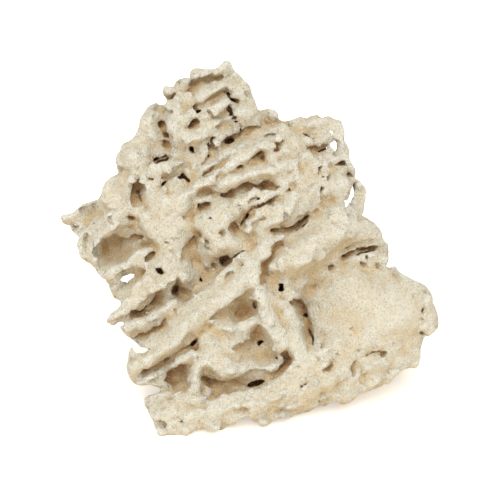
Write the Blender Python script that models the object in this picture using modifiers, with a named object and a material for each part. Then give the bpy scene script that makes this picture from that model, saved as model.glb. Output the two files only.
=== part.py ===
"""A dry reef rock: one piece of porous limestone, ribbed along its bedding, standing on its flat broken underside.

The front is laid out on a square sketch, 500 units wide, that leans back by LEAN. On it, x runs right, y runs
down, and out is the height of the stone above the sketch, towards someone who looks straight at it.
"""

import math
import random

import bmesh
import bpy
import numpy as np
from mathutils import Matrix, Vector, noise

# Driving dimensions, in metres
ROCK_WIDTH = 0.247
SKETCH_CENTRE_HEIGHT = 0.1033
EYE_DISTANCE = 1.3
BULGE = 0.026
BULGE_SPACING = 0.042
FLOOR_SIDE = 1.0

# How finely the stone is worked, the grids in metres
MASS_GRID = 0.005
CLAY_GRID = 0.0026
CAVE_GRID = 0.0022
MASS_ROUNDS = 20
CLAY_ROUNDS = 3
CAVE_ROUNDS = 1
CARVED_ROUNDS = 2
WEAR = 0.5
BEAD_STEP = 0.4
WELL_STEP = 0.6
COARSE_BALL = 2
SMOOTH_BALL = 4
SHAFT_SIDES = 12
MOST_TRIANGLES = 10600

# The sketch and how it stands
UNITS_ACROSS = 380
UNIT = ROCK_WIDTH / UNITS_ACROSS
SKETCH_MIDDLE = 250
LEAN = math.radians(25)
BEDDING_TURN = 33

# Lumps and pits that the weather left on the sides, top and back, their sizes in units of the sketch
SEED = 8
LUMP_COUNT = 190
LUMP_SIZES = (9, 30)
LUMP_FLATNESS = 0.55
PIT_COUNT = 150
PIT_SIZES = (6, 18)
PIT_FLATNESS = 0.45
SUNK = 0.1
FRONT_FACING = 0.25

# The block that the outline cuts, in units of the sketch
OUTLINE_MIDDLE = (250, 270)
WALL_START = 60
FULL_OUTLINE_TO = -40
WALL_END = -420
WALL_STEP = 20
DRAWN_IN = 0.5
DRAWN_IN_POWER = 1.5
DENT_DEPTH = 9
DENT_SPACING = 38

# The ground between the ribs, and how far the caves reach out through it, in units of the sketch
GROUND_STEP = 10
GROUND_BALL = 17
EDGE_ROUNDING = 22
EDGE_STEEPNESS = 1.5
CAVE_MOUTH = 45
THROUGH = -400

# Dry limestone
CREAM = (0.78, 0.71, 0.57, 1)
CHALKY = 0.92

RIGHT = Vector((1, 0, 0))
UP = Vector((0, math.sin(LEAN), math.cos(LEAN)))
OUT = Vector((0, -math.cos(LEAN), math.sin(LEAN)))
SKETCH_TURN = Matrix((RIGHT, UP, OUT)).transposed()

# The stone's outline as its front shows it, clockwise from the peak
OUTLINE = [
    (226, 59), (233, 64), (237, 72), (250, 85), (257, 108), (268, 107), (279, 112), (281, 120), (300, 116),
    (318, 113), (328, 113), (342, 119), (346, 140), (351, 149), (350, 160), (358, 172), (357, 178), (363, 184),
    (365, 196), (363, 215), (375, 220), (386, 234), (387, 243), (391, 254), (388, 268), (396, 265), (401, 272),
    (420, 283), (428, 286), (435, 300), (440, 322), (437, 334), (426, 337), (421, 350), (420, 367), (402, 370),
    (390, 384), (360, 394), (350, 404), (336, 402), (322, 407), (290, 418), (272, 421), (263, 428), (249, 418),
    (240, 424), (213, 434), (204, 430), (188, 437), (170, 441), (158, 437), (150, 415), (143, 399), (158, 391),
    (148, 386), (134, 386), (126, 372), (128, 352), (134, 346), (136, 348), (120, 331), (123, 323), (112, 327),
    (105, 322), (122, 303), (112, 298), (107, 284), (91, 264), (78, 256), (75, 246), (77, 234), (69, 229),
    (58, 220), (61, 214), (78, 209), (90, 200), (101, 196), (107, 182), (119, 173), (114, 160), (119, 148),
    (133, 140), (138, 122), (146, 106), (155, 102), (166, 102), (161, 91), (164, 84), (174, 84), (183, 77),
    (189, 76), (190, 69), (198, 66), (215, 68),
]

# How far the ground between the ribs stands out from the sketch: x, y, out
GROUND = [
    (165, 415, 10), (215, 405, 12), (260, 395, 12), (300, 385, 10), (335, 365, 8), (200, 370, 0), (225, 350, 4),
    (260, 350, -4), (245, 385, -12), (210, 385, -6), (150, 365, 0), (185, 330, 2), (225, 295, 4), (245, 270, 4),
    (130, 325, -14), (150, 310, -10), (165, 290, -8), (180, 300, -14), (120, 290, -22), (175, 260, -2),
    (165, 235, 0), (200, 250, -10), (120, 250, -20), (145, 245, -16), (118, 205, -6), (140, 200, -8),
    (135, 175, -10), (110, 185, -12), (70, 218, -30), (88, 235, -28), (165, 185, -4), (195, 200, -2),
    (180, 220, 0), (220, 230, 4), (245, 240, -4), (225, 262, -12), (240, 175, 2), (280, 160, -6), (250, 200, -6),
    (285, 205, -4), (310, 200, -12), (270, 235, -4), (185, 95, -18), (215, 85, -20), (235, 100, -16),
    (190, 130, -2), (215, 150, 0), (235, 150, -2), (240, 130, -8), (245, 110, -16), (155, 125, -20), (165, 160, -14),
    (135, 155, -18), (310, 140, -34), (330, 150, -38), (320, 180, -24), (340, 190, -30), (345, 160, -42),
    (275, 120, -36), (270, 285, 0), (295, 275, -4), (320, 275, -12), (305, 320, -16), (285, 330, -6),
    (310, 250, 0), (335, 235, -14), (350, 290, -4), (380, 305, -4), (410, 310, -20), (400, 275, -40),
    (430, 300, -36), (350, 240, -26), (378, 245, -38), (365, 265, -30), (370, 365, -16), (400, 355, -34),
    (330, 345, 0), (415, 345, -42),
]

# Rounded masses that fill the stone: x, y, out of the middle, then the half sizes across, up and out, and a turn
MASSES = {
    "heart": (255, 275, -90, 118, 108, 76, 0),
    "back": (235, 200, -104, 92, 92, 52, 0),
    "heel": (258, 312, -158, 112, 62, 46, 0),
    "toe": (232, 398, -36, 86, 38, 48, 10),
    "right foot": (340, 352, -78, 84, 52, 72, 15),
    "right slab": (368, 302, -52, 66, 46, 54, -18),
    "trunk": (212, 130, -55, 58, 70, 42, 0),
    "left shoulder": (132, 208, -46, 46, 46, 44, 0),
    "upper plate": (308, 165, -58, 46, 50, 30, 0),
    "middle lobe": (346, 236, -62, 42, 36, 44, 0),
    "left flank": (168, 300, -46, 54, 60, 34, -25),
    "lower left": (170, 360, -34, 40, 34, 38, -25),
    "left knobs": (88, 232, -42, 18, 30, 20, 0),
}

# Ledges that the bedding leaves on the sides and back: x, y, out, then half sizes and turn as above
LEDGES = {
    "crown ledge": (222, 108, -84, 34, 12, 22, 30),
    "neck ledge": (196, 150, -96, 50, 12, 28, 33),
    "high ledge": (262, 178, -126, 66, 13, 26, 30),
    "broken ledge": (190, 214, -116, 58, 12, 30, 36),
    "long ledge": (262, 246, -148, 80, 13, 26, 28),
    "left ledge": (160, 262, -96, 44, 12, 40, 36),
    "low ledge": (225, 310, -178, 88, 12, 24, 20),
    "right ledge": (352, 262, -112, 50, 12, 36, 33),
    "right step": (372, 330, -120, 46, 12, 46, 26),
    "heel ledge": (330, 300, -165, 60, 13, 34, 24),
}

# Ribs, knobs and ledges that stand on the masses: x, y, out of the crest, and the radius
RIBS = {
    "long bar": [(138, 368, 14, 13), (150, 360, 16, 15), (165, 348, 17, 16), (185, 330, 16, 18), (205, 312, 14, 19),
                 (225, 294, 12, 20), (240, 278, 12, 19), (250, 265, 14, 14)],
    "left strut": [(250, 262, 16, 12), (256, 278, 20, 9), (261, 300, 22, 10), (268, 322, 22, 11), (277, 340, 22, 11),
                   (284, 350, 18, 8)],
    "right strut": [(272, 272, 6, 10), (284, 292, 8, 12), (294, 314, 10, 12), (299, 338, 12, 12), (297, 358, 14, 13),
                    (290, 372, 14, 12)],
    "arch": [(255, 262, 14, 10), (262, 250, 14, 11), (275, 243, 12, 12), (288, 236, 8, 12)],
    "brow": [(282, 266, 16, 12), (296, 258, 18, 18), (312, 246, 14, 20), (328, 232, 8, 18), (338, 215, 0, 16)],
    "toe slab": [(163, 416, 26, 20), (190, 413, 28, 20), (222, 408, 28, 19), (255, 400, 26, 19), (285, 390, 22, 20),
                 (312, 378, 18, 20), (335, 366, 14, 22)],
    "slab shoulder": [(318, 352, 12, 20), (336, 345, 8, 20), (340, 330, 2, 18)],
    "toe underside": [(262, 418, 8, 10), (290, 408, 6, 9), (320, 400, 0, 9), (345, 396, -4, 9)],
    "right slab top": [(345, 290, 0, 26), (365, 305, 4, 30), (388, 305, 0, 28), (405, 310, -8, 24)],
    "end knob": [(412, 300, -12, 18), (423, 318, -14, 16), (428, 328, -22, 9)],
    "right rim": [(392, 272, -38, 8), (410, 285, -36, 10), (424, 296, -30, 10)],
    "first step": [(368, 362, -4, 18), (374, 378, -10, 14)],
    "second step": [(394, 352, -18, 18), (402, 362, -24, 13), (412, 350, -28, 12)],
    "middle lobe top": [(345, 232, -14, 20), (362, 236, -18, 20), (375, 240, -26, 12)],
    "middle lobe lip": [(350, 264, -16, 9), (366, 262, -20, 10), (379, 258, -26, 10)],
    "plate edge": [(300, 128, -24, 9), (318, 126, -26, 11), (333, 130, -30, 10), (338, 148, -32, 9), (346, 164, -32, 8),
                   (351, 173, -34, 6)],
    "plate face": [(300, 150, -18, 20), (318, 165, -20, 18), (330, 186, -14, 15), (336, 198, -14, 13)],
    "horn": [(357, 218, -28, 8), (361, 206, -34, 5.5), (361, 194, -36, 4.5), (358, 184, -38, 4)],
    "thin ridge": [(200, 170, 8, 5), (220, 158, 10, 6), (245, 144, 8, 6), (265, 136, 4, 7), (285, 130, -6, 8)],
    "second ridge": [(208, 176, 10, 6), (232, 163, 14, 7), (252, 151, 14, 8), (272, 146, 8, 10), (290, 142, -4, 13)],
    "broad ridge": [(220, 184, 14, 8), (240, 177, 14, 11), (262, 170, 10, 13), (285, 166, 2, 18), (305, 158, -10, 20)],
    "central knob": [(212, 214, 14, 14), (228, 212, 16, 14), (216, 230, 16, 16), (232, 240, 16, 11), (214, 246, 14, 11)],
    "upper shelf": [(232, 203, 12, 9), (248, 198, 12, 8), (262, 192, 8, 8)],
    "far shelf": [(265, 198, 8, 8), (285, 194, 4, 10), (305, 188, -4, 13), (322, 186, -10, 13)],
    "step ridge": [(252, 230, 12, 9), (268, 221, 12, 11), (286, 212, 10, 13), (303, 204, 2, 16), (318, 198, -4, 16)],
    "left ridge": [(178, 206, 10, 9), (192, 192, 12, 8), (205, 182, 12, 8), (214, 177, 10, 7)],
    "hanging lobe": [(168, 206, 10, 15), (172, 222, 10, 14), (170, 236, 8, 12)],
    "left column": [(182, 250, 2, 12), (178, 268, 6, 14), (165, 272, 8, 14), (150, 268, 6, 10)],
    "upper finger": [(110, 322, 2, 5.5), (122, 311, 6, 8), (138, 297, 8, 12), (152, 285, 10, 14), (168, 275, 12, 14),
                     (185, 272, 10, 12)],
    "lower finger": [(125, 330, 2, 6), (142, 325, 6, 10), (160, 318, 8, 12), (176, 308, 8, 11), (192, 298, 6, 8)],
    "finger knob": [(132, 338, -2, 6), (144, 342, 0, 7), (158, 338, 2, 7)],
    "under bar": [(141, 382, 4, 5), (157, 378, 8, 6), (172, 364, 12, 6), (188, 353, 14, 7), (204, 344, 14, 8)],
    "pillar": [(196, 350, 14, 7), (198, 366, 16, 6), (194, 384, 18, 7), (190, 398, 20, 8)],
    "low knob": [(150, 382, 2, 5), (160, 386, 6, 7)],
    "nest crest": [(208, 326, 14, 8), (222, 322, 16, 9), (240, 326, 18, 8), (254, 322, 16, 6)],
    "nest knobs": [(205, 345, 16, 9), (212, 360, 20, 11), (222, 370, 22, 11), (238, 372, 20, 10), (258, 368, 14, 8),
                   (275, 364, 10, 7)],
    "nest face": [(226, 345, 18, 20), (252, 350, 4, 18), (262, 352, 2, 14)],
    "left lobe": [(118, 190, 2, 17), (122, 208, 6, 22), (112, 222, 2, 16), (140, 205, 4, 16), (146, 222, 4, 10)],
    "recess rim": [(97, 228, -2, 7), (92, 246, -4, 5), (96, 262, -8, 6), (108, 275, -10, 7), (128, 263, -4, 6),
                   (146, 253, 0, 7)],
    "far knobs": [(63, 218, -24, 4.5), (74, 214, -20, 7), (88, 208, -16, 9), (86, 226, -18, 11), (84, 244, -18, 8),
                  (88, 256, -20, 8)],
    "small knob": [(114, 288, -12, 6), (124, 290, -6, 8), (130, 292, -4, 7)],
    "peak": [(226, 67, -12, 7), (222, 80, -6, 11)],
    "top ridge": [(196, 74, -12, 7), (208, 76, -8, 8), (222, 76, -8, 8)],
    "crown": [(167, 92, -18, 5.5), (180, 86, -14, 8), (184, 100, -6, 12), (174, 118, 0, 12), (178, 140, 4, 11)],
    "first crest": [(196, 98, 2, 6), (208, 93, 4, 7), (225, 90, 2, 8), (240, 88, -4, 9)],
    "second crest": [(205, 112, 6, 6), (220, 108, 6, 9)],
    "right crown": [(238, 112, 4, 8), (248, 106, -2, 9), (252, 122, -4, 9)],
    "middle band": [(190, 140, 8, 11), (205, 130, 8, 9), (222, 123, 6, 6)],
    "outer cheek": [(150, 115, -10, 10), (146, 130, -8, 12), (126, 152, -8, 11), (142, 160, 0, 13), (135, 172, 0, 12)],
    "shoulder ridge": [(150, 178, 4, 9), (165, 170, 6, 8), (180, 168, 6, 9)],
    "flap": [(150, 196, 2, 9), (165, 191, 4, 7), (180, 187, 2, 7)],
    "back bump": [(262, 118, -22, 8), (271, 116, -24, 8)],
}

# Caves, grooves and pits sunk from the front: x, y, out of the floor, and the radius
CAVES = {
    "deep cave": [(236, 317, -28, 6), (246, 310, -34, 8), (253, 306, -36, 5)],
    "long slot": [(299, 307, -28, 4), (304, 318, -30, 5), (308, 330, -30, 5), (311, 341, -26, 3.5)],
    "funnel": [(320, 268, -10, 5), (312, 286, -14, 8), (304, 302, -18, 7)],
    "square pit": [(280, 285, -24, 3.2), (280, 289, -24, 3.2)],
    "strut hollow": [(266, 268, -2, 5), (270, 282, -4, 7)],
    "side hole": [(285, 356, -18, 4), (287, 363, -20, 4.5), (280, 371, -18, 3.5)],
    "low cave": [(208, 382, -4, 5), (216, 388, -6, 7), (232, 384, -16, 6), (250, 382, -28, 6), (264, 379, -26, 5),
                 (276, 373, -18, 3.5)],
    "bar groove": [(148, 370, -6, 3.5), (162, 362, -8, 4), (176, 353, -10, 4), (186, 346, -14, 4), (194, 341, -22, 4)],
    "lower recess": [(172, 376, -6, 8), (182, 370, -10, 7), (178, 380, -12, 5)],
    "finger groove": [(136, 314, -12, 4), (148, 309, -14, 4), (158, 302, -14, 5), (161, 293, -10, 4)],
    "star hole": [(176, 286, -18, 5), (182, 294, -16, 7), (190, 297, -16, 5)],
    "column hole": [(199, 280, -16, 4), (205, 275, -8, 6)],
    "cliff": [(196, 240, -12, 5), (198, 254, -10, 7), (205, 266, -8, 6)],
    "socket": [(223, 262, -22, 6), (230, 261, -18, 5), (236, 254, -12, 3.5), (243, 251, -8, 3)],
    "broad groove": [(230, 196, -16, 5), (242, 190, -12, 5), (255, 187, -14, 4.5), (266, 185, -18, 6), (271, 186, -16, 5)],
    "second groove": [(240, 167, -2, 3.5), (250, 161, -8, 3.5), (258, 155, -12, 3.5), (265, 158, -12, 4.5)],
    "hook groove": [(233, 226, -4, 4), (238, 233, -4, 4), (243, 226, -8, 4), (247, 216, -12, 4), (256, 210, -8, 3.5),
                    (265, 206, -6, 3.5), (271, 204, -8, 4)],
    "long groove": [(270, 234, 0, 3.5), (282, 232, -6, 4), (294, 228, -12, 4), (304, 222, -12, 4)],
    "left hollow": [(206, 192, -2, 6), (203, 204, -12, 5), (208, 208, -10, 5)],
    "eye": [(137, 188, -8, 6), (139, 199, -12, 7)],
    "left recess": [(103, 250, -20, 8), (115, 250, -22, 11), (130, 246, -22, 11), (143, 242, -18, 7), (150, 243, -16, 5)],
    "side mouth": [(133, 221, -12, 5), (137, 230, -14, 6)],
    "see-through gap": [(122, 277, THROUGH, 3.4), (129, 275, THROUGH, 3.2)],
    "upper plate hole": [(331, 131, THROUGH, 3)],
    "lower plate hole": [(332, 146, THROUGH, 3.2), (336, 145, THROUGH, 3)],
    "horn slit": [(355, 182, THROUGH, 2.6), (354, 190, THROUGH, 2.6), (351, 198, THROUGH, 2.6), (347, 205, THROUGH, 2.4)],
    "plate cave": [(312, 150, -30, 4), (320, 151, -34, 5), (327, 148, -36, 4)],
    "crevice": [(345, 257, -28, 3), (358, 253, -30, 3), (373, 250, -32, 3)],
    "brown recess": [(230, 130, -6, 6), (240, 128, -8, 6), (231, 139, -14, 5), (246, 136, -6, 5)],
    "panel": [(214, 143, -4, 6), (214, 153, -4, 6)],
    "round pit": [(193, 126, -6, 6)],
    "crown pit": [(222, 113, -8, 5), (228, 114, -10, 4)],
    "brow pit": [(234, 101, -14, 4)],
    "cheek slot": [(164, 128, -8, 4), (168, 136, -10, 4), (169, 146, -8, 4.5)],
    "black slot": [(157, 163, -16, 3.2), (168, 158, -18, 3.2)],
    "shoulder groove": [(160, 185, -10, 3), (170, 179, -10, 3), (180, 178, -14, 3.5), (187, 183, -12, 3)],
    "end pit": [(422, 315, -26, 4.5)],
}


def place(x, y, out):
    """The point of the stone that the sketch shows at x, y, standing out from it by out."""
    spread = UNIT * (1 - out * UNIT / EYE_DISTANCE)
    flat = RIGHT * (x - SKETCH_MIDDLE) * spread + UP * (SKETCH_MIDDLE - y) * spread
    return flat + OUT * out * UNIT + Vector((0, 0, SKETCH_CENTRE_HEIGHT))


def between(points, overlap):
    """The points with more set between them, so that beads of their radii overlap."""
    dense = []
    for first, last in zip(points, points[1:]):
        first, last = Vector(first), Vector(last)
        step = overlap * min(first[3], last[3])
        count = max(1, math.ceil((first.xyz - last.xyz).length / step))
        dense += [first.lerp(last, i / count) for i in range(count)]
    return dense + [Vector(points[-1])]


def new_object(name, shape, collection):
    """An object in that collection, holding the bmesh, which is freed."""
    mesh = bpy.data.meshes.new(name)
    shape.to_mesh(mesh)
    shape.free()
    made = bpy.data.objects.new(name, mesh)
    collection.objects.link(made)
    return made


def ground(x, y):
    """How far the ground stands out at x, y, each known depth counting more the nearer it is."""
    total, weights = 0, 0
    for near_x, near_y, out in GROUND:
        weight = 1 / (1 + (x - near_x) ** 2 + (y - near_y) ** 2) ** 2
        total += weight * out
        weights += weight
    return total / weights


def distance_to_outline(x, y):
    """How far inside the outline x, y lies, below zero outside it."""
    nearest, inside = math.inf, False
    for (ax, ay), (bx, by) in zip(OUTLINE, OUTLINE[1:] + OUTLINE[:1]):
        along = ((x - ax) * (bx - ax) + (y - ay) * (by - ay)) / ((bx - ax) ** 2 + (by - ay) ** 2)
        along = min(1, max(0, along))
        nearest = min(nearest, math.hypot(x - ax - along * (bx - ax), y - ay - along * (by - ay)))
        if (ay > y) != (by > y) and x < ax + (y - ay) * (bx - ax) / (by - ay):
            inside = not inside
    return nearest if inside else -nearest


def points_and_faces(shape):
    """A bmesh as an array of points and an array of triangles, then freed."""
    shape.verts.index_update()
    points = np.array([vert.co[:] for vert in shape.verts])
    faces = np.array([[vert.index for vert in face.verts] for face in shape.faces])
    shape.free()
    return points, faces


def ball(subdivisions):
    """A ball of radius 1 about the origin."""
    shape = bmesh.new()
    bmesh.ops.create_icosphere(shape, subdivisions=subdivisions, radius=1)
    return points_and_faces(shape)


def shaft():
    """A round bar of radius 1 from the origin to 1 up."""
    shape = bmesh.new()
    half_up = Matrix.Translation((0, 0, 0.5))
    bmesh.ops.create_cone(
        shape, cap_ends=True, segments=SHAFT_SIDES, radius1=1, radius2=1, depth=1, matrix=half_up)
    bmesh.ops.triangulate(shape, faces=shape.faces)
    return points_and_faces(shape)


def copies(name, pieces, collection):
    """One object holding a copy of each piece's shape, placed by its matrix."""
    points, faces, count = [], [], 0
    for (corners, triangles), place_it in pieces:
        spin = np.array(place_it.to_3x3())
        points.append(corners @ spin.T + np.array(place_it.translation))
        faces.append(triangles + count)
        count += len(corners)
    mesh = bpy.data.meshes.new(name)
    mesh.from_pydata(np.concatenate(points).tolist(), [], np.concatenate(faces).tolist())
    made = bpy.data.objects.new(name, mesh)
    collection.objects.link(made)
    return made


def sized(spot, across, up, out, turn=0):
    """A matrix that puts a unit shape at the spot, stretched along the sketch's own directions."""
    size = Matrix.Diagonal((across * UNIT, up * UNIT, out * UNIT)).to_4x4()
    tilt = SKETCH_TURN.to_4x4() @ Matrix.Rotation(math.radians(turn), 4, "Z")
    return Matrix.Translation(spot) @ tilt @ size


def make_masses(collection):
    """The rounded masses as one object, still overlapping."""
    smooth_ball = ball(SMOOTH_BALL)
    pieces = []
    for x, y, out, half_across, half_up, half_out, turn in MASSES.values():
        pieces.append((smooth_ball, sized(place(x, y, out), half_across, half_up, half_out, turn)))
    return copies("masses", pieces, collection)


def ledge_pieces():
    """The flat ledges, each a smooth ball stretched along the bedding."""
    smooth_ball = ball(SMOOTH_BALL)
    pieces = []
    for x, y, out, half_across, half_up, half_out, turn in LEDGES.values():
        pieces.append((smooth_ball, sized(place(x, y, out), half_across, half_up, half_out, turn)))
    return pieces


def ground_pieces(bead):
    """Balls side by side that make the ground, falling back towards the outline."""
    pieces = []
    for x in range(0, 2 * SKETCH_MIDDLE, GROUND_STEP):
        for y in range(0, 2 * SKETCH_MIDDLE, GROUND_STEP):
            inset = distance_to_outline(x, y)
            if inset > 0:
                fall = max(0, EDGE_ROUNDING - inset) ** 2 / (EDGE_STEEPNESS * EDGE_ROUNDING)
                middle = place(x, y, ground(x, y) - fall - GROUND_BALL)
                pieces.append((bead, sized(middle, GROUND_BALL, GROUND_BALL, GROUND_BALL)))
    return pieces


def rib_pieces(bead):
    """Balls threaded along every rib, their crests at the rib's own depth."""
    pieces = []
    for rib in RIBS.values():
        for x, y, crest, radius in between(rib, BEAD_STEP):
            pieces.append((bead, sized(place(x, y, crest - radius), radius, radius, radius)))
    return pieces


def weathered_spots(body, count, chance):
    """Seeded points on the sides, top and back of the body, each with its normal."""
    spots = []
    while len(spots) < count:
        face = chance.choice(body.data.polygons)
        if face.normal.dot(OUT) < FRONT_FACING:
            spots.append((face.center.copy(), face.normal.copy()))
    return spots


def bedded(spot, size, flatness):
    """A matrix for a lump or pit that lies flat in the bedding."""
    return sized(spot, size, size * flatness, size, BEDDING_TURN)


def weathering(body, count, sizes, flatness, chance, bead):
    """Lumps or pits over the sides and back, their middles a little below the surface."""
    smallest, largest = sizes
    pieces = []
    for spot, normal in weathered_spots(body, count, chance):
        size = smallest + (largest - smallest) * chance.random() ** 2
        pieces.append((bead, bedded(spot - normal * size * SUNK * UNIT, size, flatness)))
    return pieces


def cave_pieces(bead):
    """Round-bottomed wells side by side, each from the floor of its cave out through the front."""
    bar = shaft()
    pieces = []
    for cave in CAVES.values():
        for x, y, floor, radius in between(cave, WELL_STEP):
            bottom = place(x, y, floor + radius)
            depth = max(radius, CAVE_MOUTH - floor - radius)
            pieces.append((bead, sized(bottom, radius, radius, radius)))
            pieces.append((bar, sized(bottom, radius, radius, depth)))
    return pieces


def outline_ring(out):
    """The outline at one depth, drawn in and dented the more the further back it lies."""
    middle = Vector(OUTLINE_MIDDLE)
    behind = max(0, FULL_OUTLINE_TO - out)
    share = 1 - DRAWN_IN * (behind / (FULL_OUTLINE_TO - WALL_END)) ** DRAWN_IN_POWER
    ring = []
    for x, y in OUTLINE:
        dent = 1 + noise.noise(Vector((x, y, out)) / DENT_SPACING)
        arm = (Vector((x, y)) - middle) * share
        arm -= arm.normalized() * dent * DENT_DEPTH * min(1, behind / DENT_SPACING)
        ring.append(place(*(middle + arm), out))
    return ring


def make_outline(collection):
    """A block with the stone's outline, full at the front and rougher and smaller towards the back."""
    shape = bmesh.new()
    depths = [WALL_START] + list(range(FULL_OUTLINE_TO, WALL_END - 1, -WALL_STEP))
    rings = [[shape.verts.new(corner) for corner in outline_ring(out)] for out in depths]
    shape.faces.new(rings[0])
    shape.faces.new(list(reversed(rings[-1])))
    for near, far in zip(rings, rings[1:]):
        for i in range(len(OUTLINE)):
            j = (i + 1) % len(OUTLINE)
            shape.faces.new((near[i], far[i], far[j], near[j]))
    bmesh.ops.triangulate(shape, faces=shape.faces)
    bmesh.ops.recalc_face_normals(shape, faces=shape.faces)
    return new_object("outline block", shape, collection)


def make_floor(collection):
    """A block below the ground that leaves the stone its flat broken underside."""
    shape = bmesh.new()
    bmesh.ops.create_cube(shape, size=FLOOR_SIDE, matrix=Matrix.Translation((0, 0, -FLOOR_SIDE / 2)))
    return new_object("floor block", shape, collection)


def baked(name, source, collection):
    """A new object with the source's modifiers applied."""
    graph = bpy.context.evaluated_depsgraph_get()
    mesh = bpy.data.meshes.new_from_object(source.evaluated_get(graph))
    mesh.name = name
    made = bpy.data.objects.new(name, mesh)
    collection.objects.link(made)
    return made


def body_piece(source):
    """The object's own triangles, to be copied where they stand."""
    shape = bmesh.new()
    shape.from_mesh(source.data)
    bmesh.ops.triangulate(shape, faces=shape.faces)
    return points_and_faces(shape), Matrix.Identity(4)


def remesh(target, grid):
    """Melts everything that overlaps into one skin."""
    melt = target.modifiers.new("melt", "REMESH")
    melt.mode = "VOXEL"
    melt.voxel_size = grid


def smooth(target, rounds):
    """Wears the steps of the grid and the sharp edges down."""
    wear = target.modifiers.new("wear", "SMOOTH")
    wear.factor = WEAR
    wear.iterations = rounds


def bulge(target):
    """Swells and hollows the whole surface unevenly."""
    texture = bpy.data.textures.new("bulges", "CLOUDS")
    texture.noise_scale = BULGE_SPACING
    texture.noise_depth = 2
    swell = target.modifiers.new("bulges", "DISPLACE")
    swell.texture = texture
    swell.strength = BULGE


def cut(target, tool, operation="DIFFERENCE"):
    """Takes the tool's shape out of the target, or keeps only what is inside it."""
    step = target.modifiers.new(operation.lower(), "BOOLEAN")
    step.operation = operation
    step.object = tool


def keep_largest(target):
    """Drops the crumbs that carving cut loose, and any bubble sealed inside."""
    shape = bmesh.new()
    shape.from_mesh(target.data)
    shape.verts.ensure_lookup_table()
    unseen = set(shape.verts)
    pieces = []
    while unseen:
        edge = [unseen.pop()]
        piece = set(edge)
        while edge:
            for link in edge.pop().link_edges:
                for vert in link.verts:
                    if vert in unseen:
                        unseen.discard(vert)
                        piece.add(vert)
                        edge.append(vert)
        pieces.append(piece)
    body = max(pieces, key=len)
    bmesh.ops.delete(shape, geom=[v for v in shape.verts if v not in body], context="VERTS")
    shape.to_mesh(target.data)
    shape.free()


def thin_out(target, most):
    """Leaves about that many triangles, the larger ones on the calmer surfaces."""
    few = target.modifiers.new("few faces", "DECIMATE")
    triangles = sum(len(face.vertices) - 2 for face in target.data.polygons)
    few.ratio = min(1, most / triangles)
    few.use_collapse_triangulate = True


def limestone():
    """Pale, dull, dry stone."""
    material = bpy.data.materials.new("dry limestone")
    material.use_nodes = True
    shader = material.node_tree.nodes["Principled BSDF"]
    shader.inputs["Base Color"].default_value = CREAM
    shader.inputs["Roughness"].default_value = CHALKY
    return material


def clear_scene():
    for old in list(bpy.data.objects):
        bpy.data.objects.remove(old)


def main():
    clear_scene()
    stone = bpy.data.collections.new("dry reef rock")
    tools = bpy.data.collections.new("carving tools")
    tools.hide_render = True
    for group in (stone, tools):
        bpy.context.scene.collection.children.link(group)
    masses = make_masses(tools)
    remesh(masses, MASS_GRID)
    smooth(masses, MASS_ROUNDS)
    bulge(masses)
    body = baked("body", masses, tools)
    body_shape = body_piece(body)
    chance = random.Random(SEED)
    bead = ball(COARSE_BALL)
    lumps = weathering(body, LUMP_COUNT, LUMP_SIZES, LUMP_FLATNESS, chance, bead)
    pits = weathering(body, PIT_COUNT, PIT_SIZES, PIT_FLATNESS, chance, bead)
    front = ground_pieces(bead) + rib_pieces(bead)
    clay = copies("clay", [body_shape] + front + ledge_pieces() + lumps, tools)
    remesh(clay, CLAY_GRID)
    smooth(clay, CLAY_ROUNDS)
    outline = make_outline(tools)
    remesh(outline, CLAY_GRID)
    cut(clay, outline, "INTERSECT")
    caves = copies("caves", cave_pieces(bead) + pits, tools)
    remesh(caves, CAVE_GRID)
    smooth(caves, CAVE_ROUNDS)
    cut(clay, caves)
    remesh(clay, CLAY_GRID)
    smooth(clay, CARVED_ROUNDS)
    carved = baked("carved", clay, tools)
    keep_largest(carved)
    thin_out(carved, MOST_TRIANGLES)
    cut(carved, make_floor(tools))
    rock = baked("reef_rock", carved, stone)
    keep_largest(rock)
    rock.data.materials.clear()
    rock.data.materials.append(limestone())
    for tool in tools.objects:
        tool.hide_render = True
        tool.display_type = "WIRE"
    return rock


main()
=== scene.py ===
# %% [markdown]
# # A dry reef rock
#
# Dry reef rock is old coral limestone, dried and sold by weight to build the landscape of a salt-water tank.
# This one stands on its broken underside. It is a single piece that weathered along its bedding, so ridges,
# slots and pits all climb the same way, up to the right.
#
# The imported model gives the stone's main masses as one plain solid of large facets. Such a solid could be
# sculpted by moving its points, but a pit with a narrow mouth or a hole right through needs new surface, not
# moved surface. So the solid is turned into a grid of distances instead, and carving and adding are sums there.

import math

import bpy
import numpy as np
import openvdb as vdb
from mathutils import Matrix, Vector


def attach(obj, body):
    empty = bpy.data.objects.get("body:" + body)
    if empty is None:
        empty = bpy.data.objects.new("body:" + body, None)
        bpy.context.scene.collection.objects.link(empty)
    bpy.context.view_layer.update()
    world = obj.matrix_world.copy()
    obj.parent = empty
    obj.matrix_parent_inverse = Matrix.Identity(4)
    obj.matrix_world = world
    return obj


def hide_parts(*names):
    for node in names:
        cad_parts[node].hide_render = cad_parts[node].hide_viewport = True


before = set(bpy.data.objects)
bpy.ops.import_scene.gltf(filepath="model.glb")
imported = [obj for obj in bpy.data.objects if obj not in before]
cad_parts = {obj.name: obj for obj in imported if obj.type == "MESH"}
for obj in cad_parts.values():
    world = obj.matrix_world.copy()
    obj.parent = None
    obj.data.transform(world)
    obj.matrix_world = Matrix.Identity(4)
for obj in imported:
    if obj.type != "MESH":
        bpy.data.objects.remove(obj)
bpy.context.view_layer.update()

# %% [markdown]
# ## The sketch of the front
#
# The front of the stone leans back. Every ridge and pit on it is placed on a square sketch that leans with it,
# 500 units wide, with x to the right, y down, and out for how far a point stands in front of the sketch. One
# unit is 0.65 mm, which makes the stone 247 mm wide.

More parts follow.
